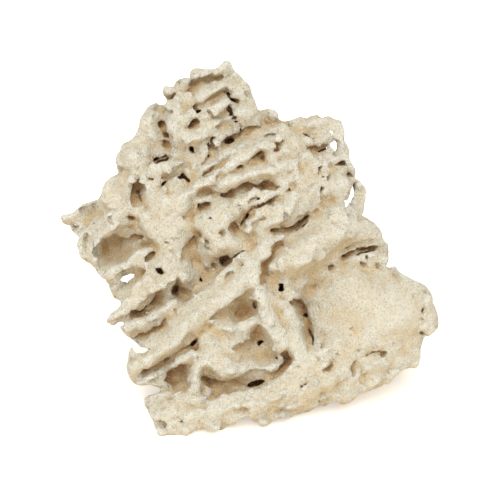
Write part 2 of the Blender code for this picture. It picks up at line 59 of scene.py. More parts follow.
# %% The sketch
ROCK_WIDTH = 0.247
UNITS_ACROSS = 380
UNIT = ROCK_WIDTH / UNITS_ACROSS
SKETCH_MIDDLE = 250
SKETCH_CENTRE_HEIGHT = 0.1033
EYE_DISTANCE = 1.3
LEAN = math.radians(25)
BEDDING_TURN = math.radians(33)

RIGHT = np.array([1, 0, 0])
UP = np.array([0, math.sin(LEAN), math.cos(LEAN)])
OUT = np.array([0, -math.cos(LEAN), math.sin(LEAN)])
CENTRE = np.array([0, 0, SKETCH_CENTRE_HEIGHT])
ALONG_BEDS = math.cos(BEDDING_TURN) * RIGHT + math.sin(BEDDING_TURN) * UP
ACROSS_BEDS = math.cos(BEDDING_TURN) * UP - math.sin(BEDDING_TURN) * RIGHT
TO_BEDS = np.array([ALONG_BEDS, ACROSS_BEDS, OUT]) / UNIT


def bed_point(x, y, out):
    """A point of the sketch in the bedding's own directions, in units: along, across and out."""
    spread = 1 - np.asarray(out) * UNIT / EYE_DISTANCE
    right, up = (np.asarray(x) - SKETCH_MIDDLE) * spread, (SKETCH_MIDDLE - np.asarray(y)) * spread
    c, s = math.cos(BEDDING_TURN), math.sin(BEDDING_TURN)
    return np.stack([c * right + s * up, c * up - s * right, np.broadcast_to(out, np.shape(right))], axis=-1)


print("one sketch unit is", round(UNIT * 1000, 3), "mm")

# %% [markdown]
# ## From facets to a grid of distances
#
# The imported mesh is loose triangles, so a copy is merged first. Its points are turned until the grid's first
# direction runs along the beds: a pattern that is stretched along the grid is then stretched along the beds.
# Each grid point holds its distance to the surface, below zero inside the stone.

# %% The grid
VOXEL = 1.3
MARGIN = 8
SOLID_REACH = 40


def merged_solid():
    """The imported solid's corners, in the bedding's directions, and its triangles."""
    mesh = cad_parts["reef_rock"].data.copy()
    corners = np.empty(len(mesh.vertices) * 3, np.float32)
    mesh.vertices.foreach_get("co", corners)
    triangles = np.empty(len(mesh.polygons) * 3, np.int32)
    mesh.polygons.foreach_get("vertices", triangles)
    bpy.data.meshes.remove(mesh)
    corners, same = np.unique(corners.reshape(-1, 3).round(7), axis=0, return_inverse=True)
    return (corners - CENTRE) @ TO_BEDS.T, same.ravel()[triangles].reshape(-1, 3)


corners, triangles = merged_solid()
LOW = corners.min(axis=0) - MARGIN
COUNT = np.ceil((corners.max(axis=0) + MARGIN - LOW) / VOXEL).astype(int)


def distances(points, faces, reach):
    """The grid of distances to a closed mesh, right up to that reach on both sides of its surface."""
    steps = reach / VOXEL
    grid = vdb.FloatGrid.createLevelSetFromPolygons(
        ((points - LOW) / VOXEL).astype(np.float32), triangles=faces.astype(np.uint32), halfWidth=steps
    )
    values = np.empty(tuple(COUNT), np.float32)
    grid.copyToArray(values, (0, 0, 0))
    return values * VOXEL


stone = distances(corners, triangles, SOLID_REACH)
print("solid's corners", len(corners), "grid", COUNT, "inside", round(float((stone < 0).mean()), 3))

# %% [markdown]
# ## Seeded randomness
#
# Nothing in a weathered stone is straight or round. A lattice of seeded random numbers with a smooth curve
# through it gives a field that rolls up and down, and the lattice may be wider one way than another. Three such
# fields bend the space that the ridges and pits are drawn in.

# %% Smooth random fields
SEED = 17
chance = np.random.default_rng(SEED)


def spline_weights(count, spacing):
    """How much each lattice point counts at each grid point along one axis, as a cubic B-spline."""
    where = np.arange(count) * VOXEL / spacing + 1
    first = np.floor(where).astype(int)
    t = where - first
    weights = np.zeros((count, first.max() + 4), np.float32)
    parts = [(1 - t) ** 3, 3 * t ** 3 - 6 * t ** 2 + 4, -3 * t ** 3 + 3 * t ** 2 + 3 * t + 1, t ** 3]
    for i, part in enumerate(parts):
        weights[np.arange(count), first - 1 + i] = part / 6
    return weights


def random_field(along, across, out):
    """A smooth random field over the grid with those spacings in units, with a usual size of 1."""
    axes = [spline_weights(n, spacing) for n, spacing in zip(COUNT, (along, across, out))]
    field = chance.standard_normal([w.shape[1] for w in axes]).astype(np.float32)
    field = np.tensordot(axes[0], field, (1, 0))
    field = np.tensordot(field, axes[1], (1, 1)).transpose(0, 2, 1)
    field = np.tensordot(field, axes[2], (2, 1))
    return field / field.std()


# %% Bending
BEND = 1.4
FINE_BEND = 0.6
bend = np.stack([BEND * random_field(12, 9, 11) + FINE_BEND * random_field(4.5, 4, 5) for _ in range(3)], axis=-1)
print("bent by up to", round(float(np.abs(bend).max()), 1), "units")

# %% [markdown]
# ## Adding and carving
#
# A ridge is a row of balls melted together, and a groove or a pit is the same thing taken away. The melting is
# a smooth minimum: where two distances are nearly equal, the lower one is lowered a little more, which fills
# the crease between two lumps as lime does. Only the boxes of grid points near a feature are worked on.

# %% Adding and carving
def box_around(points, reach):
    """The slices of the grid within reach of the points."""
    low = np.floor((points.min(axis=0) - reach - LOW) / VOXEL).astype(int).clip(0, COUNT)
    high = np.ceil((points.max(axis=0) + reach - LOW) / VOXEL).astype(int).clip(0, COUNT) + 1
    return tuple(slice(a, min(b, n)) for a, b, n in zip(low, high, COUNT))


def places_in(box, bending=1.0):
    """The bent place of each grid point in the box."""
    axes = [LOW[i] + VOXEL * np.arange(box[i].start, box[i].stop) for i in range(3)]
    return np.stack(np.meshgrid(*axes, indexing="ij"), axis=-1).astype(np.float32) + bending * bend[box]


def smooth_least(a, b, melt):
    """The lower of two distances, lowered further where they are within melt of each other."""
    near = np.maximum(melt - np.abs(a - b), 0) / melt
    return np.minimum(a, b) - near * near * melt / 4


def bar_distance(places, start, end, start_radius, end_radius, well=False):
    """The distance to a bar with round ends. A well is open upwards, all the way out."""
    line = end - start
    offset = places - start
    share = ((offset @ line) / max(line @ line, 1e-6)).clip(0, 1)
    offset = offset - share[..., None] * line
    if well:
        offset[..., 2] = np.minimum(offset[..., 2], 0)
    return np.sqrt((offset * offset).sum(axis=-1)) - (start_radius + share * (end_radius - start_radius))


def add_bar(start, end, start_radius, end_radius, melt):
    """Melts a bar with round ends onto the stone."""
    reach = max(start_radius, end_radius) + melt + VOXEL
    box = box_around(np.array([start, end]), reach)
    shape = bar_distance(places_in(box), start, end, start_radius, end_radius)
    stone[box] = smooth_least(stone[box], shape, melt)


print("two distances of 1 melted together over 2 make", smooth_least(1.0, 1.0, 2.0))

# %% Wells
UNDERCUT = 0.5
WELL_TOP = 14


def carve_well(start, end, start_radius, end_radius, mouth, melt):
    """A bar with everything in front of it taken out too. It climbs across the beds as it goes in."""
    top = mouth + WELL_TOP
    far = np.array([start, end, start, end])
    far[:2, 2] = top
    climb = np.array([0, UNDERCUT, 0])
    far += (mouth - far[:, 2:]) * climb
    box = box_around(far, max(start_radius, end_radius) + melt + VOXEL)
    places = places_in(box)
    places[..., 1] -= UNDERCUT * (mouth - places[..., 2])
    shape = bar_distance(places, start, end, start_radius, end_radius, True)
    stone[box] = -smooth_least(-stone[box], shape, melt)


# %% Where the surface is
SIGHT_START = 45
SIGHT_END = -190
SIGHT_STEP = 0.5
ground = stone.copy()


def surface_out(x, y, grid=ground):
    """How far out the surface stands where a sight line through x, y first meets the stone."""
    outs = np.arange(SIGHT_START, SIGHT_END, -SIGHT_STEP)
    points = bed_point(np.full(len(outs), x, float), np.full(len(outs), y, float), outs)
    index = ((points - LOW) / VOXEL).round().astype(int).clip(0, COUNT - 1)
    inside = grid[index[:, 0], index[:, 1], index[:, 2]] < 0
    return outs[inside.argmax()] if inside.any() else None


print("the middle of the front stands out by", surface_out(250, 250))

# %% [markdown]
# ## Hollows, ridges and holes
#
# All three are rows of points on the sketch: x, y, a height above the front's surface or a depth below it, and
# a radius. The wide hollows are carved first, the ridges are laid over them, and the small dark holes come once
# the recesses are there. Hollows and holes climb across the beds as they go in, so that each has a lit floor
# and a dark roof.

# %% Laying features on the front
def on_ground(path):
    """The path's points that meet the stone, each with the ground's own height."""
    found = [(x, y, rise, radius, surface_out(x, y)) for x, y, rise, radius in path]
    heights = [out for *rest, out in found if out is not None]
    usual = float(np.median(heights)) if heights else 0.0
    return [(x, y, rise, radius, usual if out is None else out) for x, y, rise, radius, out in found]


def dense(path, step=3.0):
    """The path with more points set between, so that it follows the ground."""
    points = []
    for first, last in zip(path, path[1:]):
        count = max(1, int(math.hypot(last[0] - first[0], last[1] - first[1]) / step))
        for i in range(count):
            points.append([a + (b - a) * i / count for a, b in zip(first, last)])
    return points + [list(path[-1])]


def evened(outs):
    """Heights along a path with the jumps between neighbours taken out."""
    outs = np.array(outs, float)
    for _ in range(2):
        padded = np.concatenate([outs[:1], outs, outs[-1:]])
        outs = (padded[:-2] + padded[1:-1] + padded[2:]) / 3
    return outs


def ridge(path, melt=2.5):
    """Lays a row of bars along the path."""
    laid = on_ground(dense(path))
    outs = evened([out for *rest, out in laid])
    beads = [(bed_point(x, y, out + rise - radius), radius) for (x, y, rise, radius, _), out in zip(laid, outs)]
    if len(beads) == 1:
        beads *= 2
    for (start, start_radius), (end, end_radius) in zip(beads, beads[1:]):
        add_bar(start, end, start_radius, end_radius, melt)


def hollow(path, melt):
    """Carves a row of wells along the path."""
    laid = on_ground(dense(path))
    outs = evened([out for *rest, out in laid])
    wells = [(bed_point(x, y, out - depth + radius), radius, out) for (x, y, depth, radius, _), out in zip(laid, outs)]
    if len(wells) == 1:
        wells *= 2
    for (start, start_radius, mouth), (end, end_radius, _) in zip(wells, wells[1:]):
        carve_well(start, end, start_radius, end_radius, mouth, melt)


# %% The front as a map of heights
FRONT_STEP = 2
NOTHING_BEHIND = -60.0
LEAST_KNOWN = 1e-3


def front_heights():
    """How far out the ground stands behind every second unit of the sketch, evened a little."""
    outs = np.arange(SIGHT_START, SIGHT_END, -SIGHT_STEP)
    lattice = np.arange(0.0, 2 * SKETCH_MIDDLE, FRONT_STEP)
    heights, known = np.zeros((len(lattice), len(lattice))), np.zeros((len(lattice), len(lattice)))
    x, out = np.meshgrid(lattice, outs, indexing="ij")
    for row, y in enumerate(lattice):
        points = bed_point(x, np.full_like(x, y), out)
        index = ((points - LOW) / VOXEL).round().astype(int).clip(0, COUNT - 1)
        inside = ground[index[..., 0], index[..., 1], index[..., 2]] < 0
        heights[row] = outs[inside.argmax(axis=1)]
        known[row] = inside.any(axis=1)
    heights *= known
    for _ in range(3):
        for field in (heights, known):
            for axis in (0, 1):
                field += np.roll(field, 1, axis) + np.roll(field, -1, axis)
                field /= 3
    evened_out = heights / np.maximum(known, LEAST_KNOWN)
    return np.where(known > LEAST_KNOWN, evened_out, NOTHING_BEHIND).astype(np.float32)


front_map = front_heights()


def front_at(x, y):
    """The map's height at each x and y, in between its points."""
    j = (np.asarray(x) / FRONT_STEP).clip(0, front_map.shape[1] - 2)
    i = (np.asarray(y) / FRONT_STEP).clip(0, front_map.shape[0] - 2)
    left, up = j.astype(int), i.astype(int)
    u, v = j - left, i - up
    top_row = front_map[up, left] * (1 - u) + front_map[up, left + 1] * u
    return top_row * (1 - v) + (front_map[up + 1, left] * (1 - u) + front_map[up + 1, left + 1] * u) * v


print("front heights from", front_map.min().round(1), "to", front_map.max().round(1))


# %% Shapes of the sketch
def sketch_place(places):
    """The x and y of the sketch that places in the bedding's directions lie behind or in front of."""
    along, across, out = places[..., 0], places[..., 1], places[..., 2]
    spread = 1 - out * UNIT / EYE_DISTANCE
    c, s = math.cos(BEDDING_TURN), math.sin(BEDDING_TURN)
    return SKETCH_MIDDLE + (c * along - s * across) / spread, SKETCH_MIDDLE - (s * along + c * across) / spread


def shape_distance(x, y, corners):
    """How far outside a shape of the sketch the points are, below zero within it."""
    nearest = np.full(x.shape, np.inf, np.float32)
    inside = np.zeros(x.shape, bool)
    for (ax, ay), (bx, by) in zip(corners, corners[1:] + corners[:1]):
        length = (bx - ax) ** 2 + (by - ay) ** 2
        share = (((x - ax) * (bx - ax) + (y - ay) * (by - ay)) / length).clip(0, 1)
        nearest = np.minimum(nearest, np.hypot(x - ax - share * (bx - ax), y - ay - share * (by - ay)))
        if ay != by:
            inside ^= ((ay > y) != (by > y)) & (x < ax + (y - ay) * (bx - ax) / (by - ay))
    return np.where(inside, -nearest, nearest)


SHAPE_BENDING = 0.4
SHAPE_CLIMB = 0.4
SHAPE_SURROUNDS = 4


def shape_box(corners, lowest, highest, climb):
    """The grid box around a shape between two heights, then each point's distance to its edge, its height, and
    how far up the beds it lies, from nought at the shape's lowest corner to one at its highest."""
    xs, ys = np.array(corners, float).T
    heights = front_at(xs, ys)
    low = bed_point(xs, ys, np.full(len(xs), heights.min() + lowest))
    low[:, 1] -= climb * lowest
    high = bed_point(xs, ys, np.full(len(xs), heights.max() + highest))
    box = box_around(np.concatenate([low, high]), SHAPE_SURROUNDS)
    places = places_in(box, SHAPE_BENDING)
    above = places[..., 2] - front_at(*sketch_place(places))
    places[..., 1] -= climb * np.maximum(-above, 0)
    x, y = sketch_place(places)
    ends = bed_point(xs, ys, heights)[:, 1]
    uphill = ((places[..., 1] - ends.min()) / (ends.max() - ends.min())).clip(0, 1)
    return box, shape_distance(x, y, corners), above, uphill


def rounded(edge, slope):
    """Nought at a shape's edge and one from that slope inwards, as a quarter circle."""
    return np.sqrt(1 - (1 - (-edge / slope).clip(0, 1)) ** 2)


# %% Masses, recesses and holes with an outline
CLEARANCE = 3
MASS_ROOT = 8


def mass(corners, height, slope, melt=3.0):
    """Raises a shape of the sketch, rounded off towards its edge."""
    box, edge, above, _ = shape_box(corners, -MASS_ROOT, height + CLEARANCE, 0)
    shape = np.maximum(edge, above - height * rounded(edge, slope))
    stone[box] = smooth_least(stone[box], shape, melt)


RECESS_GROWTH = 0.5
LOW_SIDE_DEPTH = 0.5
HIGH_SIDE_DEPTH = 1.9


def recess(corners, depth, slope, melt=1.2):
    """Sinks a shape of the sketch. Its floor slopes: deep below its upper edge, and shallow at its lower one."""
    box, edge, above, uphill = shape_box(corners, -HIGH_SIDE_DEPTH * depth - CLEARANCE, WELL_TOP, SHAPE_CLIMB)
    edge = edge - RECESS_GROWTH
    floor = depth * (LOW_SIDE_DEPTH + (HIGH_SIDE_DEPTH - LOW_SIDE_DEPTH) * uphill) * rounded(edge, slope)
    shape = np.maximum(edge, -above - floor)
    stone[box] = -smooth_least(-stone[box], shape, melt)


WIDENING = 0.35
WIDENING_START = 2
WIDEST = 7
THROUGH_INSET = 0.3
THROUGH_MELT = 1.0


def cut_through(corners):
    """A hole along the line of sight that opens out behind its mouth, so that its walls stay out of sight."""
    box, edge, above, _ = shape_box(corners, SIGHT_END, WELL_TOP, 0)
    shape = edge + THROUGH_INSET - (WIDENING * (-above - WIDENING_START)).clip(0, WIDEST)
    stone[box] = -smooth_least(-stone[box], shape, THROUGH_MELT)


PIT_INSET = 0.2
PIT_MELT = 0.5


def pit(corners, depth):
    """Sinks a shape straight in along the line of sight, so deep that hardly any light reaches its floor."""
    box, edge, above, _ = shape_box(corners, -depth - CLEARANCE, WELL_TOP, 0)
    stone[box] = -smooth_least(-stone[box], np.maximum(edge + PIT_INSET, -above - depth), PIT_MELT)


print("a recess of 8 is", 8 * LOW_SIDE_DEPTH, "units deep at its lower edge and", 8 * HIGH_SIDE_DEPTH, "at its upper")

# %% Wide hollows
HOLLOWS = [
    [(133, 220, 9, 3.2), (134, 227, 8, 4.5), (141, 233, 7, 4)],
    [(318, 214, 4, 3)],
    [(363, 227, 4, 4)],
    [(97, 214, 5, 4), (92, 222, 6, 4), (86, 232, 4, 4), (84, 244, 4, 3)],
    [(390, 271, 5, 2.5), (402, 278, 5, 2.5), (414, 286, 6, 2.5)],
    [(412, 342, 5, 6), (404, 350, 4, 5)],
    [(160, 422, 5, 3.4), (164, 428, 5, 3)],
    [(321, 394, 4, 3)],
    [(252, 414, 4, 2.5), (270, 412, 4, 2.5), (290, 411, 4, 2.5), (305, 408, 4, 2)],
]
for path in HOLLOWS:
    hollow(path, melt=3.0)
print("hollows", len(HOLLOWS))

# %% Ridges of the top
RIDGES = [
    [(193, 73, 4, 5), (202, 73, 4, 5), (212, 73, 4, 5), (222, 68, 4, 6), (226, 65, 4, 5)],
    [(232, 74, 3, 5), (240, 80, 3, 6), (247, 92, 2, 6), (252, 104, 2, 6)],
    [(203, 118, 4, 3.5), (215, 118, 5, 4), (230, 119, 5, 3.5), (243, 118, 4, 3)],
    [(185, 88, 3, 5), (178, 95, 4, 6), (172, 104, 4, 6), (178, 112, 5, 8), (178, 124, 5, 7), (182, 136, 5, 8),
     (192, 138, 5, 7), (204, 132, 4, 6), (214, 134, 3, 3)],
    [(153, 108, 2, 5), (150, 118, 3, 6), (152, 130, 4, 6), (150, 140, 3, 7)],
    [(168, 91, 2, 5), (171, 98, 2, 5)],
    [(180, 84, 2, 6), (187, 84, 2, 5)],
    [(127, 152, 3, 7), (137, 163, 4, 9), (131, 175, 3, 8)],
    [(152, 172, 3, 5), (162, 168, 4, 6), (174, 166, 5, 6), (182, 166, 4, 5)],
    [(168, 191, 4, 6), (178, 188, 5, 7), (184, 187, 4, 6)],
    [(266, 114, 2, 5), (274, 114, 2, 4)],
]
print("ridges so far", len(RIDGES))

# %% Ridges of the upper right
RIDGES += [
    [(186, 196, 4, 5), (196, 186, 5, 6), (205, 179, 5, 5), (214, 177, 5, 4.5)],
    [(237, 201, 4, 5), (246, 197, 4, 4), (256, 193, 3, 3)],
    [(262, 199, 5, 3.5), (270, 194, 5, 4.5), (284, 192, 4, 6), (300, 188, 3, 7)],
    [(250, 230, 5, 5), (256, 219, 6, 6), (264, 214, 6, 6), (276, 212, 6, 8), (290, 206, 5, 9), (304, 200, 4, 9),
     (314, 190, 3, 8)],
    [(262, 226, 5, 5), (276, 221, 6, 5), (290, 215, 5, 4.5), (302, 211, 4, 4.5)],
    [(298, 124, 3, 5), (316, 122, 3, 5), (336, 123, 3, 4), (341, 132, 3, 4), (342, 146, 3, 5)],
    [(300, 141, 3, 5), (320, 139, 4, 5), (337, 137, 4, 3)],
    [(346, 160, 3, 4), (350, 168, 3, 4)],
    [(338, 174, 4, 6), (336, 188, 5, 9), (340, 198, 4, 7)],
    [(350, 262, 3, 6), (362, 260, 3, 6), (376, 257, 3, 6)],
    [(344, 226, 3, 9), (358, 232, 4, 10), (372, 234, 3, 8)],
    [(323, 208, 3, 5), (338, 212, 3, 5), (352, 214, 3, 4)],
]
print("ridges so far", len(RIDGES))

# %% Ridges of the left
RIDGES += [
    [(112, 186, 3, 8), (114, 200, 4, 10), (118, 214, 4, 10), (110, 226, 4, 7), (100, 234, 3, 5)],
    [(146, 182, 3, 4), (151, 195, 4, 5), (149, 208, 4, 5)],
    [(140, 212, 4, 5), (148, 222, 4, 6), (156, 234, 4, 6), (162, 246, 4, 6)],
    [(163, 192, 4, 6), (165, 205, 5, 9), (172, 215, 5, 10), (172, 230, 5, 9)],
    [(168, 250, 3, 7), (175, 262, 4, 8), (165, 268, 5, 6), (152, 272, 4, 5)],
    [(180, 276, 4, 6), (192, 288, 3, 4)],
    [(96, 238, 4, 2.5), (93, 250, 4, 2.5), (95, 262, 4, 2.5)],
    [(104, 272, 4, 4), (116, 267, 5, 4), (128, 262, 5, 4), (140, 254, 5, 3.5), (150, 251, 5, 3)],
    [(62, 218, 1, 3), (72, 214, 3, 5), (86, 206, 3, 5), (96, 204, 3, 4)],
    [(74, 228, 2, 4), (80, 240, 3, 4), (84, 256, 3, 5)],
    [(108, 284, 3, 4), (118, 283, 4, 4), (130, 283, 4, 3)],
    [(108, 321, 3, 4), (118, 314, 4, 5), (130, 303, 5, 6), (142, 291, 5, 7), (155, 282, 5, 7), (168, 279, 5, 6)],
    [(122, 327, 3, 4), (135, 324, 4, 5), (150, 318, 5, 6), (164, 311, 5, 6), (174, 302, 4, 4)],
    [(166, 286, 4, 2.5), (167, 296, 5, 3), (168, 306, 4, 3)],
    [(132, 352, 0, 2.5), (133, 346, 1, 3), (142, 343, 3, 4), (148, 344, 2, 4)],
]
print("ridges so far", len(RIDGES))

# %% Ridges of the lower front
RIDGES += [
    [(136, 364, 3, 6), (146, 356, 5, 8), (158, 342, 6, 9), (170, 328, 6, 9), (184, 314, 6, 9), (200, 300, 6, 9),
     (216, 287, 6, 8), (230, 274, 5, 7), (243, 262, 4, 7)],
    [(140, 383, 3, 4), (150, 377, 4, 4), (162, 369, 5, 4), (172, 363, 5, 4.5), (184, 357, 6, 5), (194, 351, 5, 4)],
    [(197, 364, 5, 4), (194, 376, 5, 5), (195, 388, 5, 6), (192, 398, 4, 6)],
    [(150, 382, 3, 4), (158, 386, 2, 3)],
    [(247, 258, 4, 5), (253, 268, 6, 6), (255, 282, 7, 6), (260, 296, 7, 7), (265, 310, 8, 8), (272, 325, 8, 8),
     (278, 340, 7, 7), (283, 349, 5, 5)],
    [(254, 262, 4, 6), (262, 250, 6, 7), (272, 244, 6, 8), (282, 239, 4, 6)],
    [(275, 266, 5, 5), (284, 260, 6, 8), (296, 256, 6, 11), (312, 246, 6, 13), (328, 234, 5, 12), (338, 218, 4, 9)],
    [(205, 322, 4, 4), (214, 320, 6, 6), (226, 324, 6, 6), (236, 330, 5, 5)],
    [(208, 338, 5, 6), (214, 350, 6, 8), (206, 360, 5, 6), (220, 364, 7, 9), (232, 370, 6, 6), (245, 374, 5, 4),
     (262, 372, 5, 3.5), (275, 366, 4, 3)],
    [(147, 402, 3, 6), (170, 398, 4, 6), (205, 401, 4, 5), (232, 398, 4, 5), (255, 392, 4, 5), (275, 383, 4, 6),
     (295, 370, 4, 6), (318, 352, 3, 6), (332, 340, 2, 6)],
    [(170, 412, 2, 5), (205, 411, 2, 5), (245, 403, 3, 5), (275, 397, 3, 5), (300, 390, 3, 5), (330, 380, 3, 6),
     (348, 372, 3, 5)],
    [(408, 292, 2, 5), (420, 297, 3, 6), (430, 310, 3, 6), (431, 322, 4, 6), (420, 327, 4, 5)],
    [(393, 270, 2, 4), (408, 281, 3, 4), (424, 290, 3, 4)],
    [(368, 368, 3, 8), (382, 364, 3, 7)],
]
for path in RIDGES:
    ridge(path)
print("ridges", len(RIDGES))

# %% [markdown]
# Where a lump or a pit has an outline of its own, it is laid as a shape of the sketch instead: its corners, how
# high or deep it is, and how far in from its edge it takes to get there. Rounded masses come first, and the sharp
# recesses are cut into them.

# %% Masses
MASSES = [
    ([(194, 99), (197, 96), (201, 90), (205, 87), (210, 87), (214, 84), (221, 81), (229, 82), (231, 86), (225, 90),
      (219, 95), (212, 100), (204, 104), (198, 105), (194, 103)], 9, 8),
    ([(203, 110), (206, 107), (212, 103), (219, 98), (226, 97), (230, 101), (230, 106), (226, 112), (221, 117),
      (214, 117), (208, 112)], 10, 9),
    ([(230, 112), (232, 107), (238, 103), (247, 101), (254, 103), (256, 110), (250, 116), (240, 117), (233, 116)],
     8, 7),
    ([(200, 168), (210, 162), (220, 157), (228, 151), (238, 147), (250, 142), (258, 138), (266, 134), (272, 130),
      (278, 134), (268, 139), (258, 142), (248, 146), (240, 151), (232, 157), (222, 162), (212, 167), (203, 170)],
     6, 3),
    ([(206, 173), (214, 168), (224, 163), (234, 156), (242, 151), (250, 145), (258, 141), (266, 139), (276, 140),
      (280, 148), (277, 156), (274, 165), (268, 166), (268, 158), (265, 152), (260, 150), (255, 154), (250, 160),
      (243, 165), (236, 169), (226, 172), (216, 173), (208, 176)], 7, 4),
    ([(216, 185), (220, 179), (228, 174), (240, 172), (250, 169), (258, 164), (265, 164), (272, 165), (280, 160),
      (300, 158), (304, 178), (288, 188), (276, 187), (270, 180), (262, 178), (252, 181), (244, 183), (236, 187),
      (226, 190), (219, 189)], 7, 8),
    ([(236, 192), (250, 192), (262, 191), (275, 190), (270, 196), (262, 203), (252, 207), (246, 213), (240, 222),
      (228, 222), (222, 210), (232, 200)], 5, 5),
    ([(200, 212), (212, 206), (222, 202), (236, 202), (246, 205), (244, 212), (243, 220), (232, 223), (230, 228),
      (236, 238), (246, 242), (250, 247), (240, 249), (230, 252), (222, 258), (212, 264), (206, 262), (199, 252),
      (199, 243), (201, 236), (194, 228), (192, 218)], 7, 9),
    ([(152, 192), (165, 190), (178, 190), (190, 194), (194, 205), (192, 218), (192, 232), (186, 245), (182, 256),
      (180, 266), (168, 270), (157, 266), (157, 250), (152, 238), (140, 224), (140, 212), (149, 207), (151, 198)],
     6, 10),
    ([(126, 372), (128, 360), (140, 352), (150, 346), (160, 338), (166, 328), (172, 318), (182, 309), (193, 301),
      (204, 293), (214, 286), (224, 280), (236, 273), (246, 262), (252, 256), (254, 266), (256, 280), (256, 292),
      (254, 299), (244, 302), (236, 308), (228, 315), (218, 316), (207, 318), (205, 325), (196, 330), (190, 338),
      (180, 348), (168, 358), (155, 366), (143, 371), (138, 380), (130, 380)], 12, 17),
    ([(248, 256), (256, 250), (262, 256), (260, 270), (262, 285), (272, 292), (285, 296), (290, 303), (297, 315),
      (302, 330), (308, 345), (308, 355), (303, 366), (292, 366), (291, 358), (288, 352), (282, 354), (278, 352),
      (273, 344), (268, 334), (262, 325), (259, 315), (257, 302), (255, 290), (252, 275)], 8, 7),
    ([(238, 323), (246, 319), (257, 319), (253, 330), (248, 337), (242, 332)], 7, 5),
    ([(104, 270), (112, 266), (122, 262), (134, 258), (142, 262), (138, 272), (140, 282), (130, 285), (118, 287),
      (108, 282)], 4, 5),
]
for corners, height, slope in MASSES:
    mass(corners, height, slope)
print("masses", len(MASSES))

# %% [markdown]
# ## Shallower caves
#
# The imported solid's narrow caves are deep, and in this light they look too dark and too round. So the map of
# the front's heights has its narrow dips closed, and stone is added up to a little below it. The photograph's
# own recesses are sunk into that. The outermost strip is left as it is.

# %% Filling the narrow caves
FILL_REACH = 8
FILL_BELOW = 3
FILL_THICKNESS = 34
FILL_MELT = 2.0
RIM_KEPT = 14
NOWHERE = -1000.0
SLAB = 16


def spread_over(heights, reach, pick):
    """Each height replaced by the highest or lowest one within reach."""
    steps = range(-int(reach / FRONT_STEP), int(reach / FRONT_STEP) + 1)
    for axis in (0, 1):
        heights = pick.reduce([np.roll(heights, step, axis) for step in steps])
    return heights


heights = front_heights()
closed = spread_over(spread_over(heights, FILL_REACH, np.maximum), FILL_REACH, np.minimum)
inner = spread_over((heights != NOTHING_BEHIND).astype(np.float32), RIM_KEPT, np.minimum) > 0
front_map = np.where(inner, closed, NOWHERE).astype(np.float32)
for first in range(0, COUNT[0], SLAB):
    box = (slice(first, min(first + SLAB, COUNT[0])), slice(0, COUNT[1]), slice(0, COUNT[2]))
    places = places_in(box, SHAPE_BENDING)
    above = places[..., 2] - front_at(*sketch_place(places)) + FILL_BELOW
    stone[box] = smooth_least(stone[box], np.maximum(above, -above - FILL_THICKNESS), FILL_MELT)
print("filled deepest by", round(float((closed - heights)[inner].max()), 1), "units")

# %% Softening
SOFTENED_REACH = 12


def blurred(field, reach, rounds=2):
    """The field averaged over boxes of that half width in units, along each axis in turn."""
    width = max(1, int(round(reach / VOXEL)))
    for _ in range(rounds):
        for axis in range(3):
            moved = field.swapaxes(0, axis)
            padded = np.concatenate([moved[:1]] * (width + 1) + [moved] + [moved[-1:]] * width)
            total = np.cumsum(padded, axis=0, dtype=np.float64)
            field = ((total[2 * width + 1:] - total[:-2 * width - 1]) / (2 * width + 1)).astype(np.float32)
            field = field.swapaxes(0, axis)
    return field


stone = blurred(stone.clip(-SOFTENED_REACH, SOFTENED_REACH), VOXEL, 1)
print("softened")

# %% The surface that the recesses are sunk in
ground[:] = stone
front_map = front_heights()
print("front heights now from", front_map.min().round(1), "to", front_map.max().round(1))

# %% Recesses of the top
RECESSES = [
    ([(187, 128), (188, 124), (191, 121), (196, 120), (200, 121), (201, 125), (198, 129), (194, 131), (189, 130)],
     8, 3),
    ([(159, 124), (163, 122), (168, 123), (170, 130), (170, 137), (168, 141), (164, 138), (161, 132), (159, 128)],
     7, 3),
    ([(164, 142), (169, 142), (173, 145), (175, 149), (172, 152), (168, 151), (165, 147)], 6, 3),
    ([(191, 113), (192, 106), (198, 104), (206, 102), (213, 98), (220, 94), (226, 91), (231, 93), (229, 97),
      (221, 98), (214, 102), (207, 106), (202, 111), (197, 115)], 6, 3),
    ([(208, 112), (214, 116), (221, 116), (226, 111), (229, 106), (233, 106), (231, 112), (233, 118), (226, 120),
      (214, 120)], 6, 3),
    ([(190, 92), (189, 86), (196, 80), (205, 77), (216, 75), (219, 79), (213, 82), (208, 86), (203, 85), (199, 90),
      (194, 97), (191, 96)], 6, 5),
    ([(229, 99), (235, 98), (240, 100), (238, 103), (230, 102)], 10, 1.5),
    ([(215, 128), (225, 124), (234, 119), (243, 119), (243, 130), (236, 135), (226, 134), (219, 138), (221, 132)],
     4, 8),
    ([(222, 144), (222, 153), (232, 148), (243, 144), (255, 139), (266, 133), (268, 129), (258, 126), (246, 126),
      (238, 134), (228, 138)], 4, 3),
    ([(225, 137), (230, 136), (235, 137), (235, 141), (231, 144), (226, 143), (224, 140)], 13, 2),
    ([(213, 140), (218, 145), (222, 153), (220, 159), (212, 162), (205, 166), (201, 165), (206, 157), (209, 148)],
     5, 2.5),
    ([(190, 147), (194, 147), (194, 152), (196, 155), (192, 153), (190, 150)], 10, 1.5),
    ([(154, 163), (156, 159), (161, 157), (165, 155), (169, 156), (170, 159), (165, 161), (160, 162), (157, 165)],
     11, 2),
    ([(158, 187), (161, 183), (168, 180), (171, 181), (163, 186), (160, 188)], 9, 1.5),
    ([(176, 179), (180, 178), (183, 175), (185, 178), (188, 181), (190, 184), (188, 185), (184, 181), (179, 181)],
     11, 1.5),
    ([(160, 178), (170, 174), (182, 165), (186, 169), (184, 176), (176, 179), (166, 181)], 4, 6),
    ([(131, 200), (132, 190), (134, 184), (139, 181), (144, 184), (147, 190), (148, 199), (145, 204), (139, 207),
      (134, 207)], 8, 3),
]
print("recesses so far", len(RECESSES))

